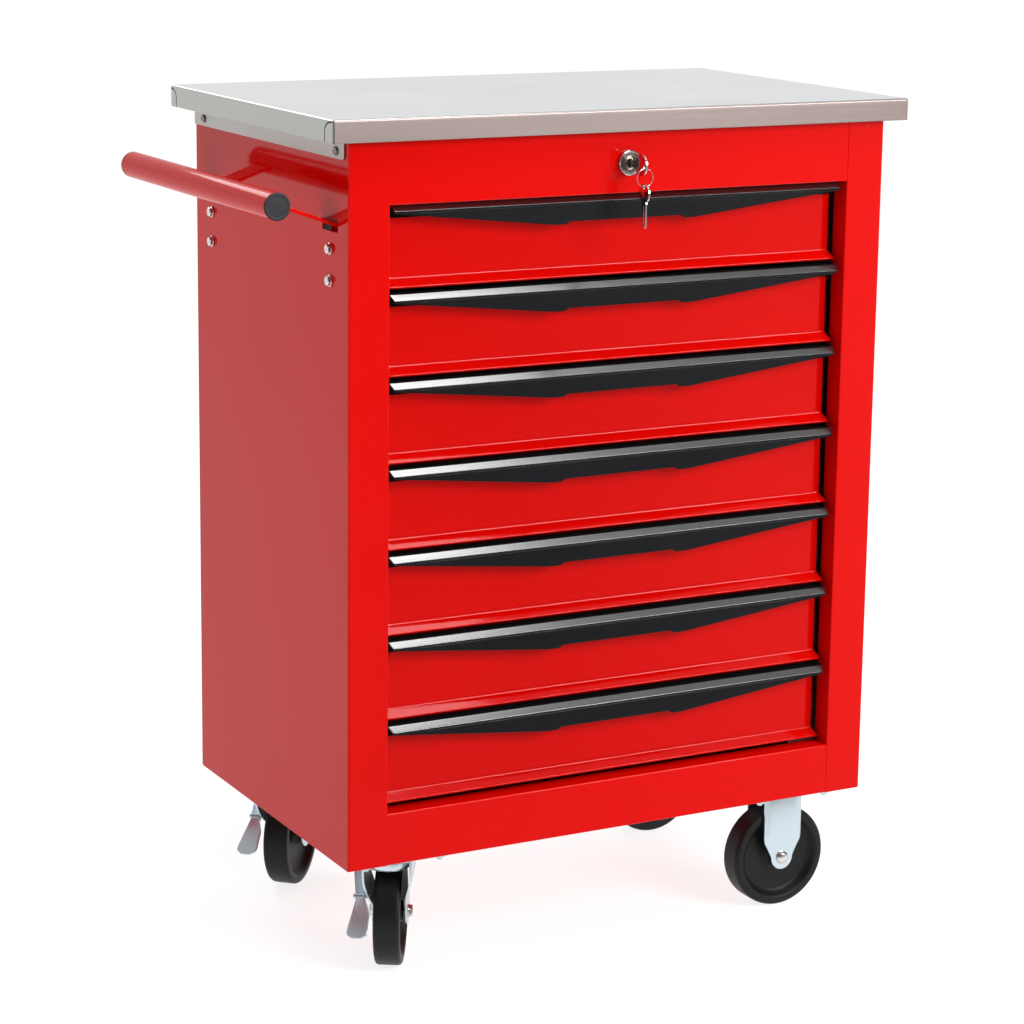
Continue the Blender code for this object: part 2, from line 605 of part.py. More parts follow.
def swivel_caster(nm, sy):
    cx, cy = -CASTER_X, sy * CASTER_Y
    ang = -radians(SWIVEL_DEG[nm])
    rotm = Matrix.Rotation(ang, 4, 'Z')

    def turn(ob, origin):
        """Turn about the swivel axis and put the origin at a point of the turned piece."""
        ob.data.transform(rotm)
        o = rotm @ Vector((origin[0] * MM, origin[1] * MM, origin[2] * MM))
        ob.data.transform(Matrix.Translation(-o))
        ob.location = Vector((cx * MM, cy * MM, BASE_Z * MM)) + o
        ob.data.update()
        return ob

    plate = box("swivel_plate_" + nm, (cx - 57, cx + 57), (cy - 51, cy + 51), (-3.3, -GAP), ZINC, origin=(cx, cy, 0))
    race = turned("t", [(0, -2.0), (22.0, -2.0), (22.0, -10.7), (6.0, -10.7), (6.0, -25.0), (0, -25.0)], "Z",
                  (cx, cy, 0), 24, None)
    fuse(plate, [race], smooth=30)

    fork = box("swivel_fork_" + nm, (-28, 28), (-22, 34), (-14.0, -11.0), ZINC)
    cup = turned("t", [(6.3, -12.5), (27.0, -12.5), (27.0, -21.0), (24.0, -25.0), (6.3, -25.0)], "Z", (0, 0, 0), 24, None)
    tools = [cup]
    kinds = ['UNION']
    levels = [(-12.0, -22, 34, 25.5), (-38.0, -22, 42, 25.5), (-60.0, -16, 47, 20.5), (-72.0, 2, 49, LEG_IN),
              (AXLE_Z, TRAIL - 16.0, TRAIL + 16.0, LEG_IN), (AXLE_Z - 10.5, TRAIL - 11, TRAIL + 11, LEG_IN),
              (AXLE_Z - 15.0, TRAIL - 4.5, TRAIL + 4.5, LEG_IN)]
    for s in (-1, 1):
        rings = []
        for z, q0, q1, l in levels:
            rings.append([(s * l, q0, z), (s * (l + LEG_T), q0, z), (s * (l + LEG_T), q1, z), (s * l, q1, z)])
        tools.append(loft("t", rings, None))
        kinds.append('UNION')
    tools.append(rod("t", "X", (0, -PIV_P, PIV_Z), 3.0, -39.0, -21.6, 12))
    kinds.append('UNION')
    tools.append(rod("c", "Z", (0, 0, 0), 6.3, -20.0, -8.0, 24))
    kinds.append('DIFFERENCE')
    tools.append(rod("c", "X", (0, TRAIL, AXLE_Z), 5.3, -30, 30, 16))
    kinds.append('DIFFERENCE')
    combine(fork, tools, kinds, smooth=30)
    turn(fork, (0, 0, 0))

    wheel = turned("wheel_swivel_" + nm, wheel_profile(), "X", (0, TRAIL, AXLE_Z), 24, TYRE, flats=True)
    turn(wheel, (0, TRAIL, AXLE_Z))
    axle = turned("axle_swivel_" + nm, axle_profile(OUT, 5.0), "X", (0, TRAIL, AXLE_Z), 16, ZINC)
    turn(axle, (0, TRAIL, AXLE_Z))

    # foot lever: hub on the pivot, a steep toe plate to the front and a flatter heel plate behind
    hub = rod("brake_lever_" + nm, "X", (0, -PIV_P, PIV_Z), 6.2, -36.0, -25.6, 16, ZINC)

    def plate_loft(rows):
        rings = []
        for p, z, nx, nz, l0, l1 in rows:
            rings.append([(-l0, -p, z), (-l1, -p, z), (-l1, -(p + nx), z + nz), (-l0, -(p + nx), z + nz)])
        return loft("t", rings, None)
    t = 2.4
    # the toe runs down and forward; the heel rises backward at a lower slope
    toe = plate_loft([(10.6, -57.6, 0.73 * t, 0.68 * t, 25.8, 36.0), (22.0, -69.6, 0.73 * t, 0.68 * t, 24.5, 39.5),
                      (40.0, -88.8, 0.73 * t, 0.68 * t, 24.0, 45.0), (43.8, -92.8, 0.73 * t, 0.68 * t, 26.5, 43.0)])
    heel = plate_loft([(12.5, -56.8, 0.46 * t, 0.89 * t, 25.8, 36.0), (-4.0, -50.4, 0.46 * t, 0.89 * t, 29.5, 38.0),
                       (-25.0, -40.0, 0.46 * t, 0.89 * t, 29.5, 42.0)])
    bore = rod("c", "X", (0, -PIV_P, PIV_Z), 3.3, -50, -10, 12)
    combine(hub, [toe, heel, bore], ['UNION', 'UNION', 'DIFFERENCE'], smooth=30)
    turn(hub, (0, -PIV_P, PIV_Z))


swivel_caster("front", -1)
swivel_caster("rear", 1)
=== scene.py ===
"""Looks of the rolling tool box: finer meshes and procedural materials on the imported
frame, a pale floor, soft studio light and the camera.  Points are given in mm in the
cabinet's own frame (X and Y from the body's middle, Z from its bottom edge)."""
import json
import bpy
import bmesh
from math import sin, cos, tan, acos, atan2, hypot, sqrt, pi, radians
from mathutils import Vector, Matrix

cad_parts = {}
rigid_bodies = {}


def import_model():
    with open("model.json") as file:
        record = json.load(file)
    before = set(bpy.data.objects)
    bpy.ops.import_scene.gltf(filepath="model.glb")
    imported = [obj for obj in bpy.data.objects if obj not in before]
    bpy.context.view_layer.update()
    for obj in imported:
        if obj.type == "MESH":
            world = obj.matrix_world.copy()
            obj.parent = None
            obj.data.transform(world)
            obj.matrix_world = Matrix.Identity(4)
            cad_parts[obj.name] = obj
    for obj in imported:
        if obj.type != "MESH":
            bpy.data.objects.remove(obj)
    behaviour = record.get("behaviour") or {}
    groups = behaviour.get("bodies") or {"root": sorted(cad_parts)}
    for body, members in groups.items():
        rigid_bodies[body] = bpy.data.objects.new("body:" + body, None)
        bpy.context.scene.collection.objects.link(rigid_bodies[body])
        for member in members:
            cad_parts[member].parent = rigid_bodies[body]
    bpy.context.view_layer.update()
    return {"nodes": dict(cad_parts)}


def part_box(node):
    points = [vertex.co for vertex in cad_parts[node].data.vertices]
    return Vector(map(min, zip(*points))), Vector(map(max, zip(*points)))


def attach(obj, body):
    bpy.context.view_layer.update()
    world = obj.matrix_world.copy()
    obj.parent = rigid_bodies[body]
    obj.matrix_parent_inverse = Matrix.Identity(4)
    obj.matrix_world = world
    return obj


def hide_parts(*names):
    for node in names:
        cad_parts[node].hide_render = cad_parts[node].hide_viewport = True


for o in list(bpy.data.objects):
    bpy.data.objects.remove(o, do_unlink=True)

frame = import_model()
NODES = frame["nodes"]
scene = bpy.context.scene

lo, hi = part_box("back_panel")
OX, OY, OZ = lo.x * 1000 + 339.7, hi.y * 1000 - 212.5, lo.z * 1000 - 0.3
Y0 = -212.5


def T(p):
    return ((p[0] + OX) * 0.001, (p[1] + OY) * 0.001, (p[2] + OZ) * 0.001)


# ================================================================ materials
def principled(name, base, rough, metal=0.0, coat=0.0, coat_rough=0.03, ior=1.5, spec=0.5, aniso=0.0, coat_ior=1.5):
    m = bpy.data.materials.new(name)
    m.use_nodes = True
    nt = m.node_tree
    b = nt.nodes["Principled BSDF"]
    b.inputs["Base Color"].default_value = (*base, 1)
    b.inputs["Roughness"].default_value = rough
    b.inputs["Metallic"].default_value = metal
    b.inputs["Coat Weight"].default_value = coat
    b.inputs["Coat Roughness"].default_value = coat_rough
    b.inputs["Coat IOR"].default_value = coat_ior
    b.inputs["IOR"].default_value = ior
    b.inputs["Specular IOR Level"].default_value = spec
    b.inputs["Anisotropic"].default_value = aniso
    return m, nt, b


def mapping(nt, scale=(1, 1, 1), loc=(0, 0, 0)):
    tc = nt.nodes.new("ShaderNodeTexCoord")
    mp = nt.nodes.new("ShaderNodeMapping")
    mp.inputs["Scale"].default_value = scale
    mp.inputs["Location"].default_value = loc
    nt.links.new(tc.outputs["Object"], mp.inputs["Vector"])
    return mp.outputs["Vector"]


def noise(nt, vec, scale, detail=3.0, rough=0.5, distort=0.0):
    n = nt.nodes.new("ShaderNodeTexNoise")
    n.inputs["Scale"].default_value = scale
    n.inputs["Detail"].default_value = detail
    n.inputs["Roughness"].default_value = rough
    n.inputs["Distortion"].default_value = distort
    nt.links.new(vec, n.inputs["Vector"])
    return n.outputs["Fac"]


def ramp(nt, fac, stops):
    r = nt.nodes.new("ShaderNodeValToRGB")
    r.color_ramp.elements[0].position = stops[0][0]
    r.color_ramp.elements[0].color = (*stops[0][1], 1)
    r.color_ramp.elements[1].position = stops[-1][0]
    r.color_ramp.elements[1].color = (*stops[-1][1], 1)
    for pos, col in stops[1:-1]:
        e = r.color_ramp.elements.new(pos)
        e.color = (*col, 1)
    nt.links.new(fac, r.inputs["Fac"])
    return r.outputs["Color"]


def span(nt, fac, a, b, lo=0.0, hi=1.0):
    r = nt.nodes.new("ShaderNodeMapRange")
    r.inputs["From Min"].default_value = lo
    r.inputs["From Max"].default_value = hi
    r.inputs["To Min"].default_value = a
    r.inputs["To Max"].default_value = b
    nt.links.new(fac, r.inputs["Value"])
    return r.outputs["Result"]


def add(nt, a, b, op="ADD"):
    n = nt.nodes.new("ShaderNodeMath")
    n.operation = op
    nt.links.new(a, n.inputs[0])
    if isinstance(b, float):
        n.inputs[1].default_value = b
    else:
        nt.links.new(b, n.inputs[1])
    return n.outputs[0]


def bump(nt, height, strength, distance, normal=None):
    n = nt.nodes.new("ShaderNodeBump")
    n.inputs["Strength"].default_value = strength
    n.inputs["Distance"].default_value = distance
    nt.links.new(height, n.inputs["Height"])
    if normal is not None:
        nt.links.new(normal, n.inputs["Normal"])
    return n.outputs["Normal"]


def red_enamel(name="enamel_red", base=((0.550, 0.0016, 0.0008), (0.592, 0.0022, 0.0010)), coat=0.58):
    m, nt, b = principled(name, base[0], 0.5, coat=coat, coat_rough=0.05, ior=1.45, spec=0.0, coat_ior=1.42)
    v = mapping(nt)
    big = noise(nt, v, 2.3, 2.0)
    nt.links.new(ramp(nt, big, [(0.3, base[0]), (0.7, base[1])]), b.inputs["Base Color"])
    nt.links.new(span(nt, noise(nt, v, 40.0, 4.0), 0.36, 0.48), b.inputs["Roughness"])
    peel = noise(nt, v, 260.0, 2.0, 0.45)
    soft = noise(nt, v, 9.0, 1.0, 0.4)
    n1 = bump(nt, peel, 0.05, 0.0006)
    n2 = bump(nt, soft, 0.05, 0.0040, n1)
    nt.links.new(n2, b.inputs["Coat Normal"])
    nt.links.new(n1, b.inputs["Normal"])
    return m


def brushed(name, scale, base, rough, streak=0.5, var=0.10):
    """Stainless steel with fine grinding lines along the axis whose scale is low."""
    m, nt, b = principled(name, base, rough, metal=1.0)
    v = mapping(nt, scale)
    lines = noise(nt, v, 1.0, 4.0, 0.65)
    v2 = mapping(nt, tuple(s * 0.22 for s in scale), (3.1, 1.7, 0.4))
    wide = noise(nt, v2, 1.0, 3.0, 0.6)
    cloud = noise(nt, mapping(nt), 3.5, 2.0)
    both = add(nt, lines, wide)
    dark = tuple(c * (1 - var) for c in base)
    light = tuple(min(1.0, c * (1 + var)) for c in base)
    nt.links.new(ramp(nt, span(nt, both, 0, 1, 0.7, 1.3), [(0.0, dark), (1.0, light)]), b.inputs["Base Color"])
    nt.links.new(span(nt, add(nt, both, cloud), rough - 0.06, rough + 0.08, 1.1, 1.9), b.inputs["Roughness"])
    nt.links.new(bump(nt, lines, streak, 0.00008), b.inputs["Normal"])
    return m


def plated(name, base, rough, blotch=0.08, grain=0.25):
    """Zinc or nickel plating: soft blotches and a faint rolled grain."""
    m, nt, b = principled(name, base, rough, metal=1.0)
    v = mapping(nt)
    big = noise(nt, v, 55.0, 4.0, 0.6, 0.4)
    fine = noise(nt, v, 900.0, 3.0, 0.6)
    dark = tuple(c * (1 - blotch) for c in base)
    light = tuple(min(1.0, c * (1 + blotch * 0.6)) for c in base)
    nt.links.new(ramp(nt, big, [(0.35, dark), (0.65, light)]), b.inputs["Base Color"])
    nt.links.new(span(nt, add(nt, big, fine), rough - 0.07, rough + 0.10, 0.6, 1.4), b.inputs["Roughness"])
    nt.links.new(bump(nt, fine, grain, 0.00005, bump(nt, big, 0.03, 0.0003)), b.inputs["Normal"])
    return m


def moulded(name, base, rough, spec=0.5, fine=700.0, depth=0.3, worn=1.25, coat=0.0):
    """Black moulded or coated surface with a fine grain and slight scuffing."""
    m, nt, b = principled(name, base, rough, spec=spec, coat=coat, coat_rough=0.2)
    v = mapping(nt)
    big = noise(nt, v, 14.0, 4.0, 0.6, 0.3)
    grain = noise(nt, v, fine, 2.0, 0.6)
    light = tuple(c * worn for c in base)
    nt.links.new(ramp(nt, big, [(0.35, base), (0.7, light)]), b.inputs["Base Color"])
    nt.links.new(span(nt, big, rough - 0.05, rough + 0.09), b.inputs["Roughness"])
    nt.links.new(bump(nt, grain, depth, 0.00006), b.inputs["Normal"])
    return m


def anodised(name, base, rough, ior=1.5, spec=0.5):
    """Black satin extrusion with fine lines drawn along its length."""
    m, nt, b = principled(name, base, rough, ior=ior, spec=spec)
    lines = noise(nt, mapping(nt, (3.0, 1900.0, 1900.0)), 1.0, 3.0, 0.6)
    big = noise(nt, mapping(nt, (6.0, 30.0, 30.0)), 1.0, 2.0)
    light = tuple(c * 1.6 for c in base)
    nt.links.new(ramp(nt, add(nt, lines, big, "MULTIPLY"), [(0.12, base), (0.45, light)]), b.inputs["Base Color"])
    nt.links.new(span(nt, lines, rough - 0.03, rough + 0.07, 0.3, 0.7), b.inputs["Roughness"])
    nt.links.new(bump(nt, lines, 0.22, 0.00006), b.inputs["Normal"])
    return m


RED = red_enamel()
RED_IN = red_enamel("enamel_red_inside", ((0.52, 0.0025, 0.0020), (0.58, 0.0035, 0.0025)), 0.5)
# the worktop's front and rear lips: a darker, pinkish copy of the top's steel, painted shade and a painted reflection
# of the red body
STEEL_X_SHADED = brushed("stainless_x_painted_shade_reflection", (5.0, 2200.0, 2200.0), (0.305, 0.25, 0.235), 0.40, 0.3, 0.05)
STEEL_TOP = brushed("stainless_top", (4.0, 1500.0, 1500.0), (0.69, 0.705, 0.715), 0.22, 0.2, 0.025)
# the worktop's side lips: a darker copy of the top's steel, painted shade
STEEL_Z_SHADED = brushed("stainless_side_painted_shade", (2200.0, 1300.0, 6.0), (0.43, 0.44, 0.415), 0.30, 0.4, 0.05)
STEEL_Y = brushed("stainless_brushed_y", (2200.0, 5.0, 1800.0), (0.42, 0.40, 0.38), 0.32, 0.4, 0.06)
ZINC = plated("zinc_bright", (0.58, 0.67, 0.72), 0.30, 0.03, 0.08)
ZINC_DULL = plated("zinc_dull", (0.50, 0.52, 0.54), 0.38, 0.14, 0.4)
NICKEL = plated("nickel_bright", (0.66, 0.65, 0.63), 0.12, 0.04, 0.1)
SCREW = plated("screw_steel", (0.30, 0.305, 0.31), 0.17, 0.15, 0.2)
PULL = anodised("pull_black", (0.0042, 0.0044, 0.0056), 0.26, 1.42, 0.3)
PULL_TOP = anodised("pull_satin", (0.0045, 0.0048, 0.0056), 0.17, 2.4)
# a darker, matt copy of the pull for its rear flat, which sits deep in the gap: painted shade
PULL_REAR_SHADED = anodised("pull_matt", (0.0030, 0.0031, 0.0034), 0.7, 1.3, 0.1)
PLUG = plated("plug_nickel", (0.24, 0.19, 0.165), 0.26, 0.08, 0.15)
CAP = moulded("cap_black", (0.014, 0.0155, 0.0180), 0.5, spec=0.35, fine=1200.0, depth=0.3)
WHEEL = moulded("wheel_black", (0.0036, 0.0037, 0.0041), 0.46, spec=0.24, fine=650.0, depth=0.28, worn=1.5)
BOARD = moulded("board_dark", (0.10, 0.065, 0.035), 0.8, fine=420.0, depth=0.8, worn=1.6)
# near-black for slot recesses, where there is only shade: painted shade
SLOT_SHADE_BLACK = moulded("slot_painted_shade", (0.003, 0.003, 0.003), 0.6, fine=900.0, depth=0.2)


# ================================================================ mesh helpers
def make(name, verts, faces, mat, body, smooth=35, bevel=0.0, segs=2, xf=None, replaces=(), slot=None, mats=None,
         index=None):
    """A mesh from points in mm; it rides on a CAD body and may stand for CAD nodes."""
    if xf:
        verts = [xf(p) for p in verts]
    me = bpy.data.meshes.new(name)
    me.from_pydata([T(p) for p in verts], [], faces)
    me.materials.append(mat)
    for extra in (mats or []):
        me.materials.append(extra)
    if index:
        for p, i in zip(me.polygons, index):
            p.material_index = i
    bm = bmesh.new()
    bm.from_mesh(me)
    bmesh.ops.recalc_face_normals(bm, faces=bm.faces)
    bm.to_mesh(me)
    bm.free()
    ob = bpy.data.objects.new(name, me)
    scene.collection.objects.link(ob)
    finish_mesh(ob, smooth, bevel, segs)
    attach(ob, body)
    if replaces:
        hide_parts(*replaces)
    return ob


def finish_mesh(ob, smooth=35, bevel=0.0, segs=2):
    me = ob.data
    me.shade_smooth()
    if bevel:
        mod = ob.modifiers.new("edge", 'BEVEL')
        mod.width = bevel * 0.001
        mod.segments = segs
        mod.limit_method = 'ANGLE'
        mod.angle_limit = radians(smooth)
        mod.harden_normals = True
        mod.use_clamp_overlap = True
    elif smooth:
        me.set_sharp_from_angle(angle=radians(smooth))
        mod = ob.modifiers.new("normals", 'WEIGHTED_NORMAL')
        mod.keep_sharp = True
        mod.weight = 80


class Shell:
    """Collects closed bodies so that several go into one mesh."""

    def __init__(self):
        self.v, self.f, self.i = [], [], []

    def add(self, verts, faces, mi=0, xf=None):
        b = len(self.v)
        self.v += [xf(p) for p in verts] if xf else list(verts)
        self.f += [tuple(b + k for k in f) for f in faces]
        self.i += [mi] * len(faces)
        return self

    def out(self, name, mat, body, **kw):
        return make(name, self.v, self.f, mat, body, index=self.i, **kw)


def skin(rings, closed=False, caps=True):
    n, m = len(rings[0]), len(rings)
    verts = [p for r in rings for p in r]
    faces = []
    for i in range(m if closed else m - 1):
        a, b = i * n, ((i + 1) % m) * n
        for j in range(n):
            k = (j + 1) % n
            faces.append((a + j, a + k, b + k, b + j))
    if not closed and caps:
        faces.append(tuple(range(n)))
        faces.append(tuple(range((m - 1) * n, m * n)))
    return verts, faces


def at(axis, p, t):
    if axis == "X":
        return (t, p[0], p[1])
    if axis == "Y":
        return (p[0], t, p[1])
    return (p[0], p[1], t)


def prism(outline, axis, a, b):
    return skin([[at(axis, p, a) for p in outline], [at(axis, p, b) for p in outline]])


def brick(x, y, z):
    return prism([(x[0], y[0]), (x[1], y[0]), (x[1], y[1]), (x[0], y[1])], "Z", z[0], z[1])


def lathe(profile, axis, c, segs=64, start=0.0):
    verts, faces, rows = [], [], []
    for r, t in profile:
        row = []
        for k in range(1 if r == 0 else segs):
            a = 2 * pi * k / segs + start
            u, v = r * cos(a), r * sin(a)
            p = {"X": (t, u, v), "Y": (u, t, v), "Z": (u, v, t)}[axis]
            row.append(len(verts))
            verts.append((c[0] + p[0], c[1] + p[1], c[2] + p[2]))
        rows.append(row)
    m = len(rows)
    for i in range(m):
        a, b = rows[i], rows[(i + 1) % m]
        if len(a) == 1 and len(b) == 1:
            continue
        for k in range(segs):
            l = (k + 1) % segs
            if len(a) == 1:
                faces.append((a[0], b[l], b[k]))
            elif len(b) == 1:
                faces.append((a[k], a[l], b[0]))
            else:
                faces.append((a[k], a[l], b[l], b[k]))
    return verts, faces


def arc(cx, cy, r, a0, a1, n):
    return [(cx + r * cos(radians(a0 + (a1 - a0) * k / n)), cy + r * sin(radians(a0 + (a1 - a0) * k / n)))
            for k in range(n + 1)]


def fillet(pts, radii, n=6):
    """Round the inner corners of an open polyline."""
    out = [pts[0]]
    for i in range(1, len(pts) - 1):
        b = Vector(pts[i])
        u = (Vector(pts[i - 1]) - b)
        v = (Vector(pts[i + 1]) - b)
        lu, lv = u.length, v.length
        u.normalize()
        v.normalize()
        ang = acos(max(-1, min(1, u.dot(v))))
        r = radii[i]
        if r <= 0.01 or ang > 3.1:
            out += [tuple(b)] * (n + 1)
            continue
        d = min(r / tan(ang / 2), 0.499 * lu if i > 1 else 0.98 * lu, 0.499 * lv if i < len(pts) - 2 else 0.98 * lv)
        r = d * tan(ang / 2)
        c = b + (u + v).normalized() * (r / sin(ang / 2))
        p, q = b + u * d - c, b + v * d - c
        a0 = atan2(p.y, p.x)
        da = atan2(p.x * q.y - p.y * q.x, p.dot(q))
        out += [(c.x + r * cos(a0 + da * k / n), c.y + r * sin(a0 + da * k / n)) for k in range(n + 1)]
    out.append(pts[-1])
    return out


def sheet(pts, radii, t, n=6):
    """Closed outline of bent sheet: pts is one face, the other lies t to its left."""
    m = len(pts)
    dirs = [(Vector(pts[i + 1]) - Vector(pts[i])).normalized() for i in range(m - 1)]
    off = []
    rad2 = [0] * m
    for i in range(m):
        if i == 0 or i == m - 1:
            d = dirs[0] if i == 0 else dirs[-1]
            off.append((pts[i][0] - d.y * t, pts[i][1] + d.x * t))
        else:
            a, b = dirs[i - 1], dirs[i]
            na, nb = Vector((-a.y, a.x)), Vector((-b.y, b.x))
            mid = (na + nb).normalized()
            k = t / max(0.2, mid.dot(na))
            off.append((pts[i][0] + mid.x * k, pts[i][1] + mid.y * k))
            left = a.x * b.y - a.y * b.x > 0
            rad2[i] = max(0.12, radii[i] - t) if left else radii[i] + t
    return fillet(pts, radii, n) + list(reversed(fillet(off, rad2, n)))


def bool_cut(ob, tools, kinds=None):
    """Cut an object with tool meshes and keep the result as its mesh."""
    made = []
    for k, (v, f) in enumerate(tools):
        me = bpy.data.meshes.new("cutter")
        me.from_pydata([T(p) for p in v], [], f)
        bm = bmesh.new()
        bm.from_mesh(me)
        bmesh.ops.recalc_face_normals(bm, faces=bm.faces)
        bm.to_mesh(me)
        bm.free()
        t = bpy.data.objects.new("cutter", me)
        scene.collection.objects.link(t)
        mod = ob.modifiers.new("cut", 'BOOLEAN')
        mod.operation = 'DIFFERENCE' if not kinds else kinds[k]
        mod.solver = 'EXACT'
        mod.object = t
        made.append(t)
    bpy.context.view_layer.update()
    dg = bpy.context.evaluated_depsgraph_get()
    me = bpy.data.meshes.new_from_object(ob.evaluated_get(dg))
    old = ob.data
    mats = [m for m in old.materials]
    ob.modifiers.clear()
    ob.data = me
    me.name = ob.name
    me.materials.clear()
    for m in mats:
        me.materials.append(m)
    bpy.data.meshes.remove(old)
    for t in made:
        d = t.data
        bpy.data.objects.remove(t, do_unlink=True)
        bpy.data.meshes.remove(d)
    return ob


def rot_z(deg, cx, cy):
    a = radians(deg)
    c, s = cos(a), sin(a)
    return lambda p: (cx + p[0] * c - p[1] * s, cy + p[0] * s + p[1] * c, p[2])


def rounded_rect(x0, x1, y0, y1, r, n=6):
    pts = []
    for cx, cy, a0 in ((x1 - r, y1 - r, 0), (x0 + r, y1 - r, 90), (x0 + r, y0 + r, 180), (x1 - r, y0 + r, 270)):
        pts += arc(cx, cy, r, a0, a0 + 90, n)
    return pts


# ================================================================ worktop
TX0, TX1, TY0, TY1 = -364.5, 364.5, -225.5, 230.5
ZB, ZT = 806.5, 831.5


def top_ring(inset, z, r):
    return [(x, y, z) for x, y in rounded_rect(TX0 + inset, TX1 - inset, TY0 + inset, TY1 - inset, r, 8)]


rings = [top_ring(1.25, ZT - 1.2, 1.9), top_ring(1.25, ZB + 0.3, 1.9), top_ring(1.0, ZB, 2.1), top_ring(0.3, ZB, 2.7),
         top_ring(0.0, ZB + 0.4, 3.0), top_ring(0.0, ZT - 5.0, 3.0)]
BEND = 2.6
for k in range(0, 9):
    a = radians(90 * k / 8)
    rings.append(top_ring(BEND * (1 - cos(a)), ZT - BEND * (1 - sin(a)), max(0.5, 3.0 - BEND * (1 - cos(a)))))
rings.append(top_ring(4.2, ZT, 0.5))
rings.append(top_ring(9.0, ZT, 0.5))
v, f = skin(rings)
worktop = make("worktop_skin", v, f, STEEL_TOP, "cabinet", smooth=0, mats=[STEEL_X_SHADED, STEEL_Z_SHADED], replaces=["worktop_sheet"],
               slot="stainless")
# the front and rear lips wrap round each corner as a tab; a curved slit parts it from the side lip
slits = []
for sx in (-1, 1):
    for y_c, sy in ((TY0, 1), (TY1, -1)):
        line = []
        for k in range(11):
            a = radians(90 * k / 10)
            line.append((y_c + sy * (2.0 + 17.0 * sin(a) ** 0.8), ZT - 3.2 - 11.0 * (1 - cos(a))))
        line.append((y_c + sy * 19.4, ZB - 2.0))
        outline = sheet(line, [0] * len(line), 1.7, 1)
        a, b = sorted((sx * 362.4, sx * 366.0))
        slits.append(prism(outline, "X", a, b))
bool_cut(worktop, slits)
# faces that look to the front, back or side get the darker steel copies: painted shade, with a pinkish painted
# reflection on the front and rear lips
for p in worktop.data.polygons:
    n = p.normal
    p.material_index = 0 if n.z > 0.75 else (1 if abs(n.y) > abs(n.x) else 2)
worktop.data.shade_smooth()
worktop.data.set_sharp_from_angle(angle=radians(40))
mod = worktop.modifiers.new("normals", 'WEIGHTED_NORMAL')
mod.keep_sharp = True
mod.weight = 80

# the strips below the side overhang, with their screws
for side, s in (("left", -1), ("right", 1)):
    prof = sheet([(s * 362.8, 809.7), (s * 340.3, 809.7), (s * 340.3, 786.5)], [0, 2.4, 0], 1.5 * (1 if s < 0 else -1)
                 * (1 if s < 0 else -1), 6) if s < 0 else \
        sheet([(340.3, 786.5), (340.3, 809.7), (362.8, 809.7)], [0, 2.4, 0], -1.5, 6)
    if s < 0:
        prof = sheet([(-340.3, 786.5), (-340.3, 809.7), (-362.8, 809.7)], [0, 2.4, 0], 1.5, 6)
    v, f = prism(prof, "Y", -204.5, 212.0)
    strip = make("skirt_strip_" + side, v, f, STEEL_Y, "cabinet", replaces=["worktop_bracket_" + side], slot="stainless")
    cuts = []
    for yc, sy in ((-204.5, 1), (212.0, -1)):
        r = 4.5 if sy > 0 else 2.0
        pts = [(yc - sy * 1.0, 785.5)] + [(yc + sy * (r - r * cos(radians(a))), 786.5 + r - r * sin(radians(a)))
                                         for a in range(0, 91, 15)] + [(yc + sy * r, 785.5)]
        cuts.append(prism(pts, "X", s * 339.0, s * 343.2))
    bool_cut(strip, cuts)
    finish_mesh(strip, 35)
    sh = Shell()
    strip_in = sorted((s * 338.5, s * 336.5))
    sh.add(*brick(strip_in, (-190, 190), (788.8, 800.8)))
    for y in (-184.0, 184.0):
        face = 341.85
        prof = [(0, 335.5), (2.2, 335.5), (2.2, face), (4.9, face), (5.0, face + 0.7), (4.7, face + 1.5), (4.0, face + 2.05),
                (2.9, face + 2.4), (1.6, face + 2.55), (0, face + 2.6)]
        sh.add(*lathe([(r, s * t) for r, t in prof], "X", (0, y, 794.8), 40), mi=0)
    screws = sh.out("skirt_screws_" + side, SCREW, "cabinet", mats=[SLOT_SHADE_BLACK], replaces=["bracket_screws_" + side], slot="zinc")
    cuts = []
    for y in (-184.0, 184.0):
        for k in range(2):
            w, l = (0.6, 2.9) if k == 0 else (2.9, 0.6)
            cuts.append(brick(sorted((s * 343.1, s * 345.5)), (y - w, y + w), (794.8 - l, 794.8 + l)))
    bool_cut(screws, cuts)
    finish_mesh(screws, 35)

# ================================================================ steel body
for side, s in (("left", -1), ("right", 1)):
    pts = [(s * 326.0, 211.0), (s * 340.0, 211.0), (s * 340.0, Y0), (s * 291.6, Y0), (s * 291.6, Y0 + 25.5)]
    prof = sheet(pts, [0, 1.8, 1.9, 1.2, 0], 1.2 * (1 if s < 0 else -1), 6)
    v, f = prism(prof, "Z", 0.0, 809.7)
    panel = make("body_side_" + side, v, f, RED, "cabinet", replaces=["side_panel_" + side], slot="red_enamel")
    if s < 0:
        cuts = []
        for y in (-165.5, 165.5):
            cuts.append(prism(rounded_rect(y - 20.0, y + 20.0, 707.0, 719.5, 1.6, 4), "X", -343.0, -337.0))
        bool_cut(panel, cuts)
        finish_mesh(panel, 35)

fold = 25.5
prof = sheet([(Y0 + fold, 809.7), (Y0, 809.7), (Y0, 737.5), (Y0 + fold, 737.5)], [0, 1.6, 1.6, 0], 1.2, 6)
v, f = prism(prof, "X", -292.8, 291.3)
rail = make("rail_top", v, f, RED, "cabinet", replaces=["top_rail"], slot="red_enamel")
bool_cut(rail, [lathe([(0, -6), (11.3, -6), (11.3, 6), (0, 6)], "Y", (0, Y0, 771.0), 64)])
finish_mesh(rail, 35)
prof = sheet([(Y0 + fold, 60.0), (Y0, 60.0), (Y0, 0.0), (Y0 + fold, 0.0)], [0, 1.6, 1.6, 0], 1.2, 6)
v, f = prism(prof, "X", -292.8, 291.3)
make("rail_bottom", v, f, RED, "cabinet", replaces=["bottom_rail"], slot="red_enamel")

# back panel: a flat sheet with slightly bevelled edges
sh = Shell()
sh.add(*brick((-339.7, 339.7), (211.3, 212.5), (0.3, 809.4)))
back = sh.out("body_back", RED, "cabinet", bevel=0.3, replaces=["back_panel"], slot="red_enamel")

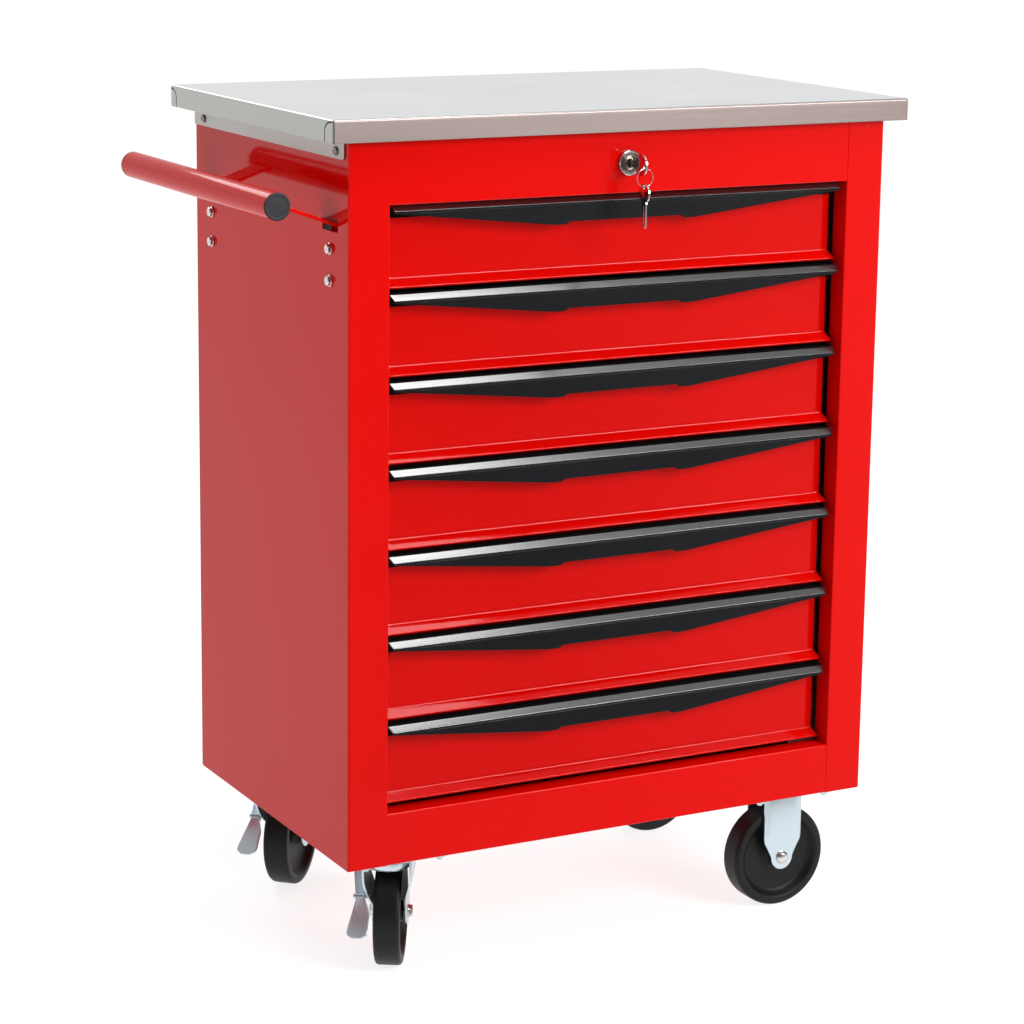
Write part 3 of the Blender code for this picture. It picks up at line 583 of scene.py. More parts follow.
# small weld dimples near the top corners of the front
sh = Shell()
for x, y, z in ((-319.0, Y0, 800.0), (319.5, Y0, 800.0)):
    sh.add(*lathe([(0, 0.4), (1.5, 0.4), (1.4, -0.12), (0.8, -0.3), (0, -0.36)], "Y", (x, y, z), 24))
sh.out("weld_spots", RED, "cabinet", slot="red_enamel")

# ================================================================ side handle
v, f = lathe([(13.5, -207.6), (14.6, -207.9), (15.0, -207.4), (15.0, 207.4), (14.6, 207.9), (13.5, 207.6)], "Y",
             (-420, 0, 742), 96)
make("grip_tube", v, f, RED, "cabinet", replaces=["handle_tube"], slot="red_enamel")
for nm, s in (("front", -1), ("rear", 1)):
    prof = [(0, 193.0), (12.6, 193.0), (13.2, 195.0), (13.2, 208.2), (14.7, 208.2), (15.0, 208.5), (15.0, 209.0), (14.6, 209.6),
            (13.4, 209.95), (12.2, 209.9), (11.8, 209.6), (11.2, 209.55), (8.0, 209.75), (0, 209.9)]
    v, f = lathe([(r, s * t) for r, t in prof], "Y", (-420, 0, 742), 72)
    make("grip_end_" + nm, v, f, CAP, "cabinet", replaces=["handle_cap_" + nm], slot="black_plastic")
    yc = s * 165.5
    slope = 0.358
    xi, xo, xe = -334.5, -338.5, -404.9

    def arm(x, dz):
        return 715.4 + dz + (-339.4 - x) * slope
    xj = xi + 9.0
    pts = [(xi, 640.0), (xi, 698.5), (xj, 705.0), (xj, arm(xj, 2.1)), (xe, arm(xe, 2.1))]
    prof = sheet(pts, [0, 4.5, 4.5, 6.5, 0], 4.0, 6)
    v, f = prism(prof, "Y", yc - 19.0, yc + 19.0)
    sh = Shell()
    sh.add(v, f)
    ob = sh.out("grip_arm_" + nm, RED, "cabinet", bevel=0.55, segs=3, replaces=["handle_bracket_" + nm], slot="red_enamel")
    # weld beads where the arm meets the tube
    sh = Shell()
    for cxw, czw in ((-405.0, 741.9), (-406.4, 735.2)):
        rings = []
        count = 44
        for k in range(count + 1):
            y = yc - 18.2 + 36.4 * k / count
            r = 1.55 + 0.28 * sin(k * 2 * pi / 4.0) + 0.12 * sin(k * 1.7)
            if k in (0, count):
                r = 0.5
            rings.append([(cxw + 1.15 * r * cos(2 * pi * j / 10), y, czw + r * sin(2 * pi * j / 10)) for j in range(10)])
        sh.add(*skin(rings))
    sh.out("grip_weld_" + nm, RED, "cabinet", smooth=60, slot="red_enamel")
    # dome bolts with washers, and the nut plate inside
    sh = Shell()
    sh.add(*brick((xi + 0.3, xi + 3.3), (yc - 11, yc + 11), (642.5, 699.0)))
    for z in (688.0, 653.5):
        w = -340.35
        washer = [(4.0, w), (6.4, w), (6.6, w - 0.25), (6.6, w - 0.85), (6.3, w - 1.1), (4.0, w - 1.1)]
        sh.add(*lathe(washer, "X", (0, yc, z), 48))
        h = w - 1.1
        shank = [(0, xi + 5.4), (4.0, xi + 5.4), (4.0, h + 0.6), (0, h + 0.6)]
        sh.add(*lathe(shank, "X", (0, yc, z), 32))
        # pressed hex head: chamfered rim, then a low dome with a dished middle
        turn = 0.35 + 0.5 * (z > 670) + 0.3 * s
        rows = []
        for x, hexr, mix in ((h + 0.1, 5.35, 0.0), (h - 0.5, 5.75, 1.0), (h - 2.5, 5.75, 1.0), (h - 3.1, 5.35, 0.6), (h - 3.45, 4.7, 0.15),
                             (h - 3.6, 3.9, 0.0), (h - 3.6, 2.6, 0.0), (h - 3.25, 1.9, 0.0), (h - 3.15, 0.7, 0.0)):
            row = []
            for q in range(48):
                a6 = 2 * pi * q / 48
                flat = hexr * cos(pi / 6) / cos((a6 % (pi / 3)) - pi / 6)
                r = flat * mix + min(flat, hexr * 0.93) * (1 - mix)
                row.append((x, yc + r * cos(a6 + turn), z + r * sin(a6 + turn)))
            rows.append(row)
        sh.add(*skin(rows))
    sh.out("grip_bolts_" + nm, NICKEL, "cabinet", smooth=28, replaces=["handle_bolts_" + nm], slot="zinc")

# ================================================================ drawers
PITCH = 96.4


def lip_z(k):
    return 66.0 + PITCH * (7 - k)


def front_ring(x, z, rc, dy, squeeze):
    """Section of a drawer front: top return, flat face, flare and rolled lip."""
    fy = Y0 + 25.0
    fl = 1.0 - squeeze
    pts = [(fy + 8.0, z + 90.9), (fy, z + 90.9), (fy, z + 10.6), (fy - 9.0 * fl, z + 1.9), (fy - 7.6 * fl, z + 0.05),
           (fy - 2.4 * fl, z + 0.05)]
    prof = sheet(pts, [0, 1.4, rc, 1.25, 1.2, 0], 1.0, 6)
    sx = 1 if x > 0 else -1
    out = []
    for y, zz in prof:
        t = min(1.0, max(0.0, (zz - z - 2.2) / 8.0)) * min(1.0, max(0.0, (abs(x) - 262.0) / 12.0))
        out.append((x - sx * 4.4 * t, y + dy, zz))
    return out


def front_mesh(k):
    z = lip_z(k)
    xs = []
    r = 1.6
    for a in (90, 67, 45, 22, 0):
        xs.append((289.0 - r + r * sin(radians(a)), r * (1 - cos(radians(a))), 9.0))
    for d in (3.0, 5.0, 8.0, 12.0):
        xs.append((289.0 - d, 0.0, max(2.6, 9.0 - (d - 1.6) * 1.0)))
    xs += [(250.0, 0.0, 2.6), (120.0, 0.0, 2.6), (0.0, 0.0, 2.6)]
    full = [(x, dy, rc) for x, dy, rc in xs] + [(-x, dy, rc) for x, dy, rc in reversed(xs[:-1])]
    full.sort(key=lambda q: q[0])
    return skin([front_ring(x, z, rc, dy, 0.0) for x, dy, rc in full])


def tray_mesh(k):
    z = lip_z(k)
    fy = Y0 + 25.0
    y0, y1 = fy + 1.2, 186.0
    X = 276.0

    def ring(i, zz):
        return [(x, y, z + zz) for x, y in rounded_rect(-X + i, X - i, y0 + i, y1 - i, max(0.4, 2.2 - i), 4)]
    t = 1.0
    rings = [ring(t + 1.2, 12.0 + t), ring(t + 0.35, 12.35 + t), ring(t, 13.2 + t), ring(t, 69.2), ring(t * 0.72, 69.8), ring(t * 0.3, 69.9),
             ring(0.0, 69.4), ring(0.0, 13.6), ring(0.45, 12.5), ring(1.6, 12.0)]
    return skin(rings)


def pull_rings(k):
    z = lip_z(k)
    zt = z + 84.4

    def depth(x):
        a = abs(x)
        if a <= 70.0:
            return 20.0
        if a <= 76.0:
            t = (a - 70.0) / 6.0
            return 20.0 + 3.0 * t * t * (3 - 2 * t)
        if a <= 88.0:
            return 23.0
        d = 23.0 + (1.6 - 23.0) * (a - 89.0) / (284.0 - 89.0)
        if a < 92.0:
            d = min(d, 23.0)
        return max(1.6, d)
    xs = [284.0, 283.2, 281.0, 277.0, 262.0, 240.0, 200.0, 150.0, 110.0, 96.0, 92.0, 90.0, 88.0, 84.0, 80.0, 76.0, 75.0, 74.0, 73.0, 72.0,
          71.0, 70.0, 60.0, 30.0, 0.0]
    xs = [-x for x in xs] + list(reversed(xs[:-1]))
    rings = []
    for x in xs:
        d = depth(x)
        end = abs(x) == 284.0
        # nose of the pull: a small blunt edge that stands just in front of the face
        nose = arc(Y0 + 3.3, zt + 0.95, 0.95, 135, 180, 4) + arc(Y0 + 3.3, zt - 0.2, 0.95, 180, 262, 5)
        if d > 4.6:
            face = [(Y0 + 3.3, zt - 1.55), (Y0 + 3.1, zt - 1.8), (Y0 + 3.1, zt - 2.2), (Y0 + 3.1, zt - d + 1.3)]
        else:
            face = [(Y0 + 3.7, zt - 1.35 - 0.02 * j) for j in range(4)]
        bot = zt - max(d, 1.6)
        low = arc(Y0 + 4.0, bot + 0.9, 0.9, 180, 270, 4) + arc(Y0 + 4.5, bot + 0.7, 0.7, 270, 360, 3)
        if d <= 4.6:
            low = [(Y0 + 3.8 + 0.1 * j, min(zt - 1.5, bot) - 0.001 * j) for j in range(len(low))]
        back_low = [(Y0 + 5.0, zt - 1.2), (Y0 + 5.8, zt + 1.6), (Y0 + 11.2, zt + 5.4), (Y0 + 22.7, zt + 5.6), (Y0 + 22.7, zt - 8.0),
                    (Y0 + 24.7, zt - 8.0), (Y0 + 24.7, zt + 7.7), (Y0 + 24.3, zt + 8.1)]
        top = [(Y0 + 17.0, zt + 7.5), (Y0 + 10.4, zt + 7.45), (Y0 + 8.5, zt + 7.4), (Y0 + 8.1, zt + 7.05), (Y0 + 3.1, zt + 2.1)]
        sec = nose + face + low + back_low + top
        inset = {284.0: 0.55, 283.2: 0.16, 281.0: 0.0}.get(abs(x), 0.0)
        ring = []
        for y, zz in sec:
            sx = 1 if x > 0 else -1
            g = min(1.0, (y - Y0 - 2.0) / 9.0) * 4.5 if abs(x) > 276.9 else 0.0
            yy = y + inset * (1 if y < Y0 + 12 else -1) * 0.8
            zc = zz + (inset * 0.6 * (-1 if zz > zt - 1.0 else 1))
            ring.append((x + sx * g * min(1.0, (abs(x) - 262.0) / 15.0), yy, zc))
        rings.append(ring)
    return rings


for k in range(1, 8):
    z = lip_z(k)
    body = "drawer_%d" % k
    v, f = front_mesh(k)
    sh = Shell().add(v, f)
    fy = Y0 + 25.0
    for s in (-1, 1):
        a, b = sorted((s * 284.6, s * 283.6))
        sh.add(*brick((a, b), (fy + 1.55, fy + 15.0), (z + 9.0, z + 90.6)))
    sh.out("front_%d" % k, RED, body, replaces=["drawer_box_%d" % k], slot="drawer_red")
    v, f = tray_mesh(k)
    make("tray_%d" % k, v, f, RED_IN, body, slot="drawer_red")
    sh = Shell()
    for s in (-1, 1):
        prof = [(276.0, -11.8), (286.2, -11.8), (287.4, -10.6), (287.4, -6.2), (285.6, -4.4), (283.4, -3.0), (283.4, 3.0), (285.6, 4.4),
                (287.4, 6.2), (287.4, 10.6), (286.2, 11.8), (276.0, 11.8)]
        sh.add(*prism([(s * x, z + 35.0 + q) for x, q in prof], "Y", -178.0, 184.0))
    sh.out("runner_%d" % k, ZINC_DULL, body, bevel=0.3, slot="zinc")
    v, f = skin(pull_rings(k))
    pull = make("pull_%d" % k, v, f, PULL, body, smooth=32, mats=[PULL_TOP, PULL_REAR_SHADED], replaces=["drawer_pull_%d" % k],
                slot="black_plastic")
    for p in pull.data.polygons:
        # faces on the rear flat take the darker copy: painted shade
        if p.center.y > (Y0 + OY + 9.0) * 0.001:
            p.material_index = 2
        elif p.normal.z > 0.35:
            p.material_index = 1

# ================================================================ lock, keys and ring
LZ = 771.0
LC = (0, Y0, LZ)
prof = [(8.3, -3.0), (8.5, -3.4), (9.6, -3.4), (9.7, -3.15), (9.9, -3.15), (10.0, -3.4), (11.5, -3.4), (11.9, -4.6), (12.3, -4.9), (13.2, -4.9),
        (13.9, -4.3), (14.1, -3.7), (14.1, -0.9), (13.8, -0.3), (11.0, -0.3), (11.0, 24.0), (8.3, 24.0)]
v, f = lathe(prof, "Y", LC, 96)
bezel = make("lock_bezel", v, f, NICKEL, "cabinet", smooth=30, mats=[PLUG], replaces=["lock_body"], slot="chrome")
for p in bezel.data.polygons:
    if p.center.y < (Y0 + OY - 2.8) * 0.001 and hypot(p.center.x - OX * 0.001, p.center.z - (LZ + OZ) * 0.001) < 0.0118:
        p.material_index = 1
sh = Shell()
prof = [(0, 30.0), (7.0, 30.0), (8.0, 29.4), (8.0, -2.2), (7.8, -2.7), (7.2, -2.9), (6.6, -2.75), (6.3, -2.4), (5.9, -2.35), (5.6, -2.7),
        (0, -2.8)]
sh.add(*lathe(prof, "Y", LC, 72))
sh.add(*prism([(-6, -7 + LZ), (6, -7 + LZ), (6, 4 + LZ), (3.5, 20 + LZ), (-3.5, 20 + LZ), (-6, 4 + LZ)], "Y", Y0 + 26.0, Y0 + 28.5))
plug = sh.out("lock_core", PLUG, "lock_cylinder", replaces=["lock_plug"], slot="chrome")
bool_cut(plug, [brick((-1.3, 1.3), (Y0 - 6, Y0 + 16.5), (LZ - 4.8, LZ + 4.8))])
finish_mesh(plug, 35)


def key_mesh(along, cx, bow_r, hole_c, hole_r, half, end, teeth):
    """Flat key with a round bow, a shoulder, a milled blade and its cuts."""
    pts = []
    a0 = 0.42
    for k in range(49):
        a = a0 + (2 * pi - 2 * a0) * k / 48
        pts.append((bow_r * cos(a), bow_r * sin(a)))
    sh_x = bow_r + 2.5
    low = [(bow_r + 0.6, -half - 0.9), (sh_x, -half - 0.9), (sh_x + 0.4, -half), (end - 3.2, -half), (end - 1.0, -half + 1.2),
           (end, -half + 3)]
    up = [(end, half - 3), (end - 1.0, half - 1.2)]
    x = end - 3
    up.append((x, half))
    for t in range(teeth):
        d = (1.9, 1.1, 2.2, 1.4, 1.7, 1.2)[t % 6]
        up += [(x - 0.9, half - d), (x - 1.9, half - d), (x - 3.0, half - 0.2)]
        x -= 3.2
    up += [(sh_x + 0.4, half), (sh_x, half + 0.9), (bow_r + 0.6, half + 0.9)]
    poly = pts + low + up
    verts, faces = prism([along(p) for p in poly], "X", cx - 1.0, cx + 1.0)
    hy, hz = along(hole_c)
    return verts, faces, (cx, hy, hz, hole_r)


def key_piece(name, body, along, cx, bow_r, hole_c, hole_r, half, end, teeth, replaces):
    v, f, (hx, hy, hz, hr) = key_mesh(along, cx, bow_r, hole_c, hole_r, half, end, teeth)
    ob = make(name, v, f, NICKEL, body, replaces=replaces, slot="chrome")
    cuts = [lathe([(0, -4), (hr, -4), (hr, 4), (0, 4)], "X", (hx, hy, hz), 32)]
    # a groove along each flank of the blade
    for sx in (-1, 1):
        g = [along((bow_r + 3.5, -0.7)), along((end - 1.0, -0.7)), along((end - 1.0, 0.2)), along((bow_r + 3.5, 0.2))]
        a, b = sorted((cx + sx * 0.78, cx + sx * 1.6))
        cuts.append(prism(g, "X", a, b))
    bool_cut(ob, cuts)
    finish_mesh(ob, 30, 0.16, 2)
    return ob


BOW_Y = Y0 - 28.0
RING_Y = BOW_Y - 8.0
key_piece("key_in_lock", "inserted_key", lambda p: (BOW_Y + p[0], LZ + p[1]), 0.0, 12.0, (-8.0, -1.9), 2.3, 3.9, 42.0, 4,
          ["key"])
RT, RR = 768.0, 10.0
rings = []
turns, steps = 1.93, 150
for k in range(steps + 1):
    t = k / steps
    a = 2 * pi * turns * t + 0.5
    ctr = Vector((RR * sin(a), RING_Y + 0.86 * (t - 0.5), RT - RR + RR * cos(a)))
    rad = Vector((sin(a), 0, cos(a)))
    rw = 0.43 if 0 < k < steps else 0.25
    rings.append([tuple(ctr + rad * rw * cos(2 * pi * j / 12) + Vector((0, 1, 0)) * rw * sin(2 * pi * j / 12)) for j in range(12)])
v, f = skin(rings)
make("ring_split", v, f, NICKEL, "split_ring", smooth=60, replaces=["key_ring"], slot="chrome")
SPC = RT - 2 * RR - 7.2
key_piece("key_hanging", "split_ring", lambda p: (RING_Y + p[1], SPC - p[0]), 0.0, 10.6, (-6.9, 0.0), 2.1, 3.9, 39.0, 6, [])

# ================================================================ casters
AZ = 62.5 - 153.0
PLATE_X, PLATE_Y = 57.0, 51.0


def plate_shell(sh, cx, cy):
    rows = []
    for i, z in ((0.5, -0.32), (0.0, -0.7), (0.0, -2.8), (0.5, -3.3)):
        rows.append([(x, y, z) for x, y in rounded_rect(cx - PLATE_X + i, cx + PLATE_X - i, cy - PLATE_Y + i, cy + PLATE_Y - i, 7.0, 5)])
    sh.add(*skin(rows))
    for bx in (-46.0, 46.0):
        for by in (-38.0, 38.0):
            hexa = lathe([(0, -3.0), (6.6, -3.0), (7.2, -3.5), (7.2, -8.2), (6.5, -9.0), (3.2, -9.0), (3.2, -11.4), (2.4, -11.9), (0, -11.9)],
                         "Z", (cx + bx, cy + by, 0), 6, 0.4 + bx)
            sh.add(*hexa)
            sh.add(*lathe([(0, -2.9), (8.6, -2.9), (8.8, -3.3), (8.6, -4.3), (0, -4.3)], "Z", (cx + bx, cy + by, 0), 32))
            sh.add(*lathe([(0, -8.0), (3.1, -8.0), (3.1, -11.6), (2.5, -12.1), (0, -12.1)], "Z", (cx + bx, cy + by, 0), 24))
    return sh


def wheel_half():
    return [(5.35, 15.0), (5.7, 15.3), (10.6, 15.3), (11.6, 15.0), (12.3, 14.2), (13.0, 12.0), (14.6, 9.2), (17.2, 7.4), (20.5, 6.6), (26.0, 6.3),
            (36.0, 6.2), (42.5, 6.4), (45.2, 7.2), (47.4, 9.0), (49.6, 11.8), (51.0, 13.8), (52.2, 14.9), (53.4, 15.4), (55.0, 15.5),
            (58.0, 15.4), (59.8, 15.0), (61.2, 14.1), (62.1, 12.7), (62.45, 10.8), (62.5, 8.0), (62.5, 3.0)]


WP = wheel_half()
WP = WP + [(62.5, 0.0)] + [(r, -t) for r, t in reversed(WP)]


def axle_shell(sh, axis, c, xf=None):
    h = 20.7
    a = [(0, -h + 0.2), (5.0, -h + 0.2), (5.0, h - 0.2), (0, h - 0.2)]
    sh.add(*lathe(a, axis, c, 32), xf=xf)
    dome = [(0, -h), (7.9, -h), (8.0, -h - 0.4), (7.9, -h - 1.2), (7.2, -h - 2.6), (5.9, -h - 3.8), (4.0, -h - 4.6), (2.0, -h - 4.95), (0, -h - 5.0)]
    sh.add(*lathe(dome, axis, c, 48), xf=xf)
    sh.add(*lathe([(0, h), (8.0, h), (8.0, h + 0.4), (7.7, h + 0.9), (0, h + 0.9)], axis, c, 40), xf=xf)
    sh.add(*lathe([(0, h + 0.8), (6.4, h + 0.8), (7.0, h + 1.2), (7.0, h + 3.9), (6.3, h + 4.6), (3.4, h + 4.6), (3.2, h + 5.0), (0, h + 5.0)], axis,
                  c, 6, 0.3), xf=xf)
    return sh


def leg_stations():
    """(height, half width) down a fixed leg to the round end below the axle."""
    out = [(-9.0, 26.0), (-14.0, 26.0), (-15.4, 26.0), (-30.0, 26.0), (-61.0, 26.0), (-62.6, 26.0), (-66.0, 25.8), (-69.0, 25.3), (-72.0, 24.2)]
    for z in (-76.0, -80.0, -84.0, -87.5):
        t = (z + 72.0) / (-90.5 + 72.0)
        out.append((z, 24.2 + (14.6 - 24.2) * t ** 0.9))
    for a in range(0, 91, 9):
        out.append((AZ - 15.0 * sin(radians(a)), max(0.6, 15.0 * cos(radians(a)))))
    return out


for nm, sy in (("front", -1), ("rear", 1)):
    cx, cy = 260.5, sy * 150.0
    sh = Shell()
    plate_shell(sh, cx, cy)
    # the bracket is one pressed U: crown, two bends and two legs with a raised panel
    for s in (-1, 1):
        path = [(0.0, -3.4, 0.0, 1.0, 26.0)]
        path += [(14.0, -3.4, 0.0, 1.0, 26.0)]
        for a in range(0, 91, 15):
            path.append((15.5 + 5.0 * sin(radians(a)), -8.4 + 5.0 * cos(radians(a)), sin(radians(a)), cos(radians(a)), 26.0))
        for z, w in leg_stations():
            path.append((20.5, z, 1.0, 0.0, w))
        rows = []
        for l, z, nl, nz, w in path:
            on = 1.0 if -61.5 < z < -15.0 else 0.0
            lift = 1.3 * on
            cols = [-w, -w + 0.5, -19.6, -18.2, 18.2, 19.6, w - 0.5, w]
            if w < 22.0:
                cols = [-w, -w * 0.97, -w * 0.6, -w * 0.5, w * 0.5, w * 0.6, w * 0.97, w]
            ups = [-0.45, 0.0, 0.0, lift, lift, 0.0, 0.0, -0.45]
            row = [(cx + q, cy + s * (l + nl * u), z + nz * u) for q, u in zip(cols, ups)]
            row += [(cx + q, cy + s * (l - 2.5 * nl), z - 2.5 * nz) for q in reversed(cols)]
            rows.append(row)
        sh.add(*skin(rows))
    sh.out("fixed_bracket_" + nm, ZINC, "cabinet", smooth=50, replaces=["fixed_caster_bracket_" + nm], slot="zinc")
    v, f = lathe(WP, "Y", (cx, cy, AZ), 128)
    make("tyre_fixed_" + nm, v, f, WHEEL, "fixed_wheel_" + nm, smooth=50, replaces=["wheel_fixed_" + nm], slot="wheel_black")
    sh = axle_shell(Shell(), "Y", (cx, cy, AZ))
    sh.out("axle_bolt_fixed_" + nm, NICKEL, "cabinet", replaces=["axle_fixed_" + nm], slot="zinc")

TRAIL, PIV_P, PIV_Z = 32.0, 8.0, -60.0
for nm, sy, deg in (("front", -1, 31.0), ("rear", 1, 43.0)):
    cx, cy = -260.5, sy * 150.0
    xf = rot_z(-deg, cx, cy)
    body = "swivel_" + nm
    sh = Shell()
    plate_shell(sh, cx, cy)
    race = [(0, -2.6), (25.5, -2.6), (26.2, -3.6), (25.6, -5.2), (23.6, -6.6), (22.0, -7.4), (22.0, -10.6), (6.0, -10.6), (6.0, -24.2), (5.2, -25.0),
            (0, -25.0)]
    sh.add(*lathe(race, "Z", (cx, cy, 0), 64))
    sh.out("swivel_head_" + nm, ZINC, "cabinet", replaces=["swivel_plate_" + nm], slot="zinc")
    # fork: crown, ball cup and two curved legs
    sh = Shell()
    rows = []
    for i, z in ((0.5, -11.0), (0.0, -11.4), (0.0, -13.6), (0.5, -14.0)):
        rows.append([(x, y, z) for x, y in rounded_rect(-28 + i, 28 - i, -22 + i, 34 - i, 5.0, 5)])
    sh.add(*skin(rows), xf=xf)
    cup = [(6.4, -12.6), (26.2, -12.6), (27.0, -13.4), (27.2, -15.0), (27.0, -19.0), (26.4, -21.4), (25.2, -23.4), (23.4, -24.6), (21.0, -25.0),
           (16.0, -25.0), (14.5, -24.4), (6.4, -24.4)]
    sh.add(*lathe(cup, "Z", (0, 0, 0), 72), xf=xf)
    levels = [(-11.6, -22, 34, 25.5), (-20.0, -22.5, 35, 25.7), (-30.0, -22.5, 38.5, 25.7), (-38.0, -22, 42, 25.4), (-46.0, -20.5, 44.5, 24.0),
              (-54.0, -17.8, 46.2, 21.8), (-60.0, -14.0, 47.3, 20.2), (-66.0, -7.0, 48.4, 18.9), (-72.0, 1.5, 49.0, 18.1),
              (-78.0, 8.6, 48.9, 18.0), (-84.0, 13.2, 48.4, 18.0), (AZ, TRAIL - 16.0, TRAIL + 16.0, 18.0)]
    for a in (15, 30, 45, 60, 72, 82):
        levels.append((AZ - 15.0 * sin(radians(a)), TRAIL - 16.0 * cos(radians(a)), TRAIL + 16.0 * cos(radians(a)), 18.0))
    for s in (-1, 1):
        rows = []
        for z, q0, q1, l in levels:
            e = 0.45
            rows.append([(s * l, q0, z), (s * (l + 2.5 - e), q0, z), (s * (l + 2.5), q0 + e, z), (s * (l + 2.5), (q0 + q1) / 2, z),
                         (s * (l + 2.5), q1 - e, z), (s * (l + 2.5 - e), q1, z), (s * l, q1, z), (s * l, (q0 + q1) / 2, z)])
        sh.add(*skin(rows), xf=xf)
    sh.add(*lathe([(0, -39.0), (2.4, -39.0), (3.0, -38.4), (3.0, -20.4), (0, -20.4)], "X", (0, -PIV_P, PIV_Z), 32), xf=xf)
    sh.out("fork_" + nm, ZINC, body, smooth=45, replaces=["swivel_fork_" + nm], slot="zinc")
    v, f = lathe(WP, "X", (0, TRAIL, AZ), 128)
    make("tyre_swivel_" + nm, v, f, WHEEL, "swivel_wheel_" + nm, smooth=50, xf=xf, replaces=["wheel_swivel_" + nm], slot="wheel_black")
    sh = axle_shell(Shell(), "X", (0, TRAIL, AZ), xf)
    sh.out("axle_bolt_swivel_" + nm, NICKEL, body, replaces=["axle_swivel_" + nm], slot="zinc")
    # foot lever
    sh = Shell()
    sh.add(*lathe([(3.3, -25.7), (5.8, -25.7), (6.2, -26.2), (6.2, -35.4), (5.8, -36.0), (3.3, -36.0)], "X", (0, -PIV_P, PIV_Z), 40), xf=xf)

    def pedal(rows, n=8):
        """A pressed plate along a line of (p, z, nx, nz, inner, outer); its rim stands up a little."""
        out = []
        for p, z, nx, nz, l0, l1 in rows:
            w = l1 - l0
            cols = [l0, l0 + 0.5, l0 + w * 0.14, l0 + w * 0.24, l0 + w * 0.76, l0 + w * 0.86, l1 - 0.5, l1]
            rim = [0.0, 0.45, 0.55, 0.0, 0.0, 0.55, 0.45, 0.0]
            ring = [(-c, -(p + nx + nx * 0.42 * u), z + nz + nz * 0.42 * u) for c, u in zip(cols, rim)]
            ring += [(-c, -p, z) for c in reversed(cols)]
            out.append(ring)
        return skin(out)
    t = 2.0
    toe = []
    for k in range(15):
        q = k / 14
        p, z = 10.6 + 35.0 * q, -58.6 - 38.0 * q
        l0, l1 = 26.0 - 7.4 * min(1.0, q / 0.4), 34.5 + 10.6 * q
        if q > 0.8:
            m, h = (l0 + l1) / 2, (l1 - l0) / 2
            h *= 0.42 + 0.58 * sqrt(max(0.0, 1 - ((q - 0.8) / 0.2) ** 2))
            l0, l1 = m - h, m + h
        toe.append((p, z, 0.73 * t, 0.68 * t, l0, l1))
    sh.add(*pedal(toe), xf=xf)
    heel = []
    for k in range(12):
        q = k / 11
        p, z = 12.5 - 37.0 * q, -56.8 + 16.6 * q
        l0, l1 = 25.8 + 3.8 * min(1, q * 3), 36.0 + 5.6 * q
        if q > 0.84:
            m = (l0 + l1) / 2
            h = (l1 - l0) / 2 * sqrt(max(0.08, 1 - ((q - 0.84) / 0.165) ** 2))
            l0, l1 = m - h, m + h
        heel.append((p, z, 0.46 * t, 0.89 * t, l0, l1))
    sh.add(*pedal(heel), xf=xf)
    sh.out("pedal_" + nm, ZINC, "brake_" + nm, smooth=45, replaces=["brake_lever_" + nm], slot="zinc")

# ================================================================ carried-over CAD nodes
KEEP = {"worktop_core": (BOARD, 0.4), "base_panel": (RED_IN, 0.3), "slide_rack_left": (ZINC_DULL, 0.2), "slide_rack_right": (ZINC_DULL, 0.2),
        "lock_nut": (ZINC, 0.3), "lock_rod": (ZINC_DULL, 0.3), "lock_bar": (ZINC_DULL, 0.3)}
for node, (mat, width) in KEEP.items():
    ob = NODES[node]
    ob.data.materials.clear()
    ob.data.materials.append(mat)
    for p in ob.data.polygons:
        p.material_index = 0
    mod = ob.modifiers.new("edge", 'BEVEL')
    mod.width = width * 0.001
    mod.segments = 2
    mod.limit_method = 'ANGLE'
    mod.angle_limit = radians(40)
    mod.use_clamp_overlap = True
    mod.harden_normals = False

# ================================================================ floor
rings = []
n = 96
for r in (0.0001, 0.4, 1.0, 2.0, 4.0, 8.0, 16.0, 40.0, 120.0):
    rings.append([(r * cos(2 * pi * k / n), r * sin(2 * pi * k / n), 0.0) for k in range(n)])
me = bpy.data.meshes.new("floor")
fv, ff = skin(rings, caps=False)
me.from_pydata(fv, [], ff)
floor = bpy.data.objects.new("floor", me)
scene.collection.objects.link(floor)
fm, nt, b = principled("floor_pale", (0.32, 0.32, 0.32), 0.7, spec=0.1)
v = mapping(nt)
nt.links.new(ramp(nt, noise(nt, v, 1.2, 3.0), [(0.3, (0.31, 0.31, 0.31)), (0.7, (0.33, 0.33, 0.33))]), b.inputs["Base Color"])
b.inputs["Emission Color"].default_value = (1, 1, 1, 1)
b.inputs["Emission Strength"].default_value = 0.82
me.materials.append(fm)

# ================================================================ light
world = bpy.data.worlds.new("studio")
scene.world = world
world.use_nodes = True
nt = world.node_tree
bg = nt.nodes["Background"]
tc = nt.nodes.new("ShaderNodeTexCoord")
sep = nt.nodes.new("ShaderNodeSeparateXYZ")
nt.links.new(tc.outputs["Generated"], sep.inputs[0])
X, Y, Z = sep.outputs


def smooth(fac, a, b, lo, hi):
    r = nt.nodes.new("ShaderNodeMapRange")
    r.interpolation_type = 'SMOOTHSTEP'
    r.inputs["From Min"].default_value = a
    r.inputs["From Max"].default_value = b
    r.inputs["To Min"].default_value = lo
    r.inputs["To Max"].default_value = hi
    nt.links.new(fac, r.inputs["Value"])
    return r.outputs["Result"]


def m2(op, a, b):
    n = nt.nodes.new("ShaderNodeMath")
    n.operation = op
    for i, q in enumerate((a, b)):
        if isinstance(q, float):
            n.inputs[i].default_value = q
        else:
            nt.links.new(q, n.inputs[i])
    return n.outputs[0]


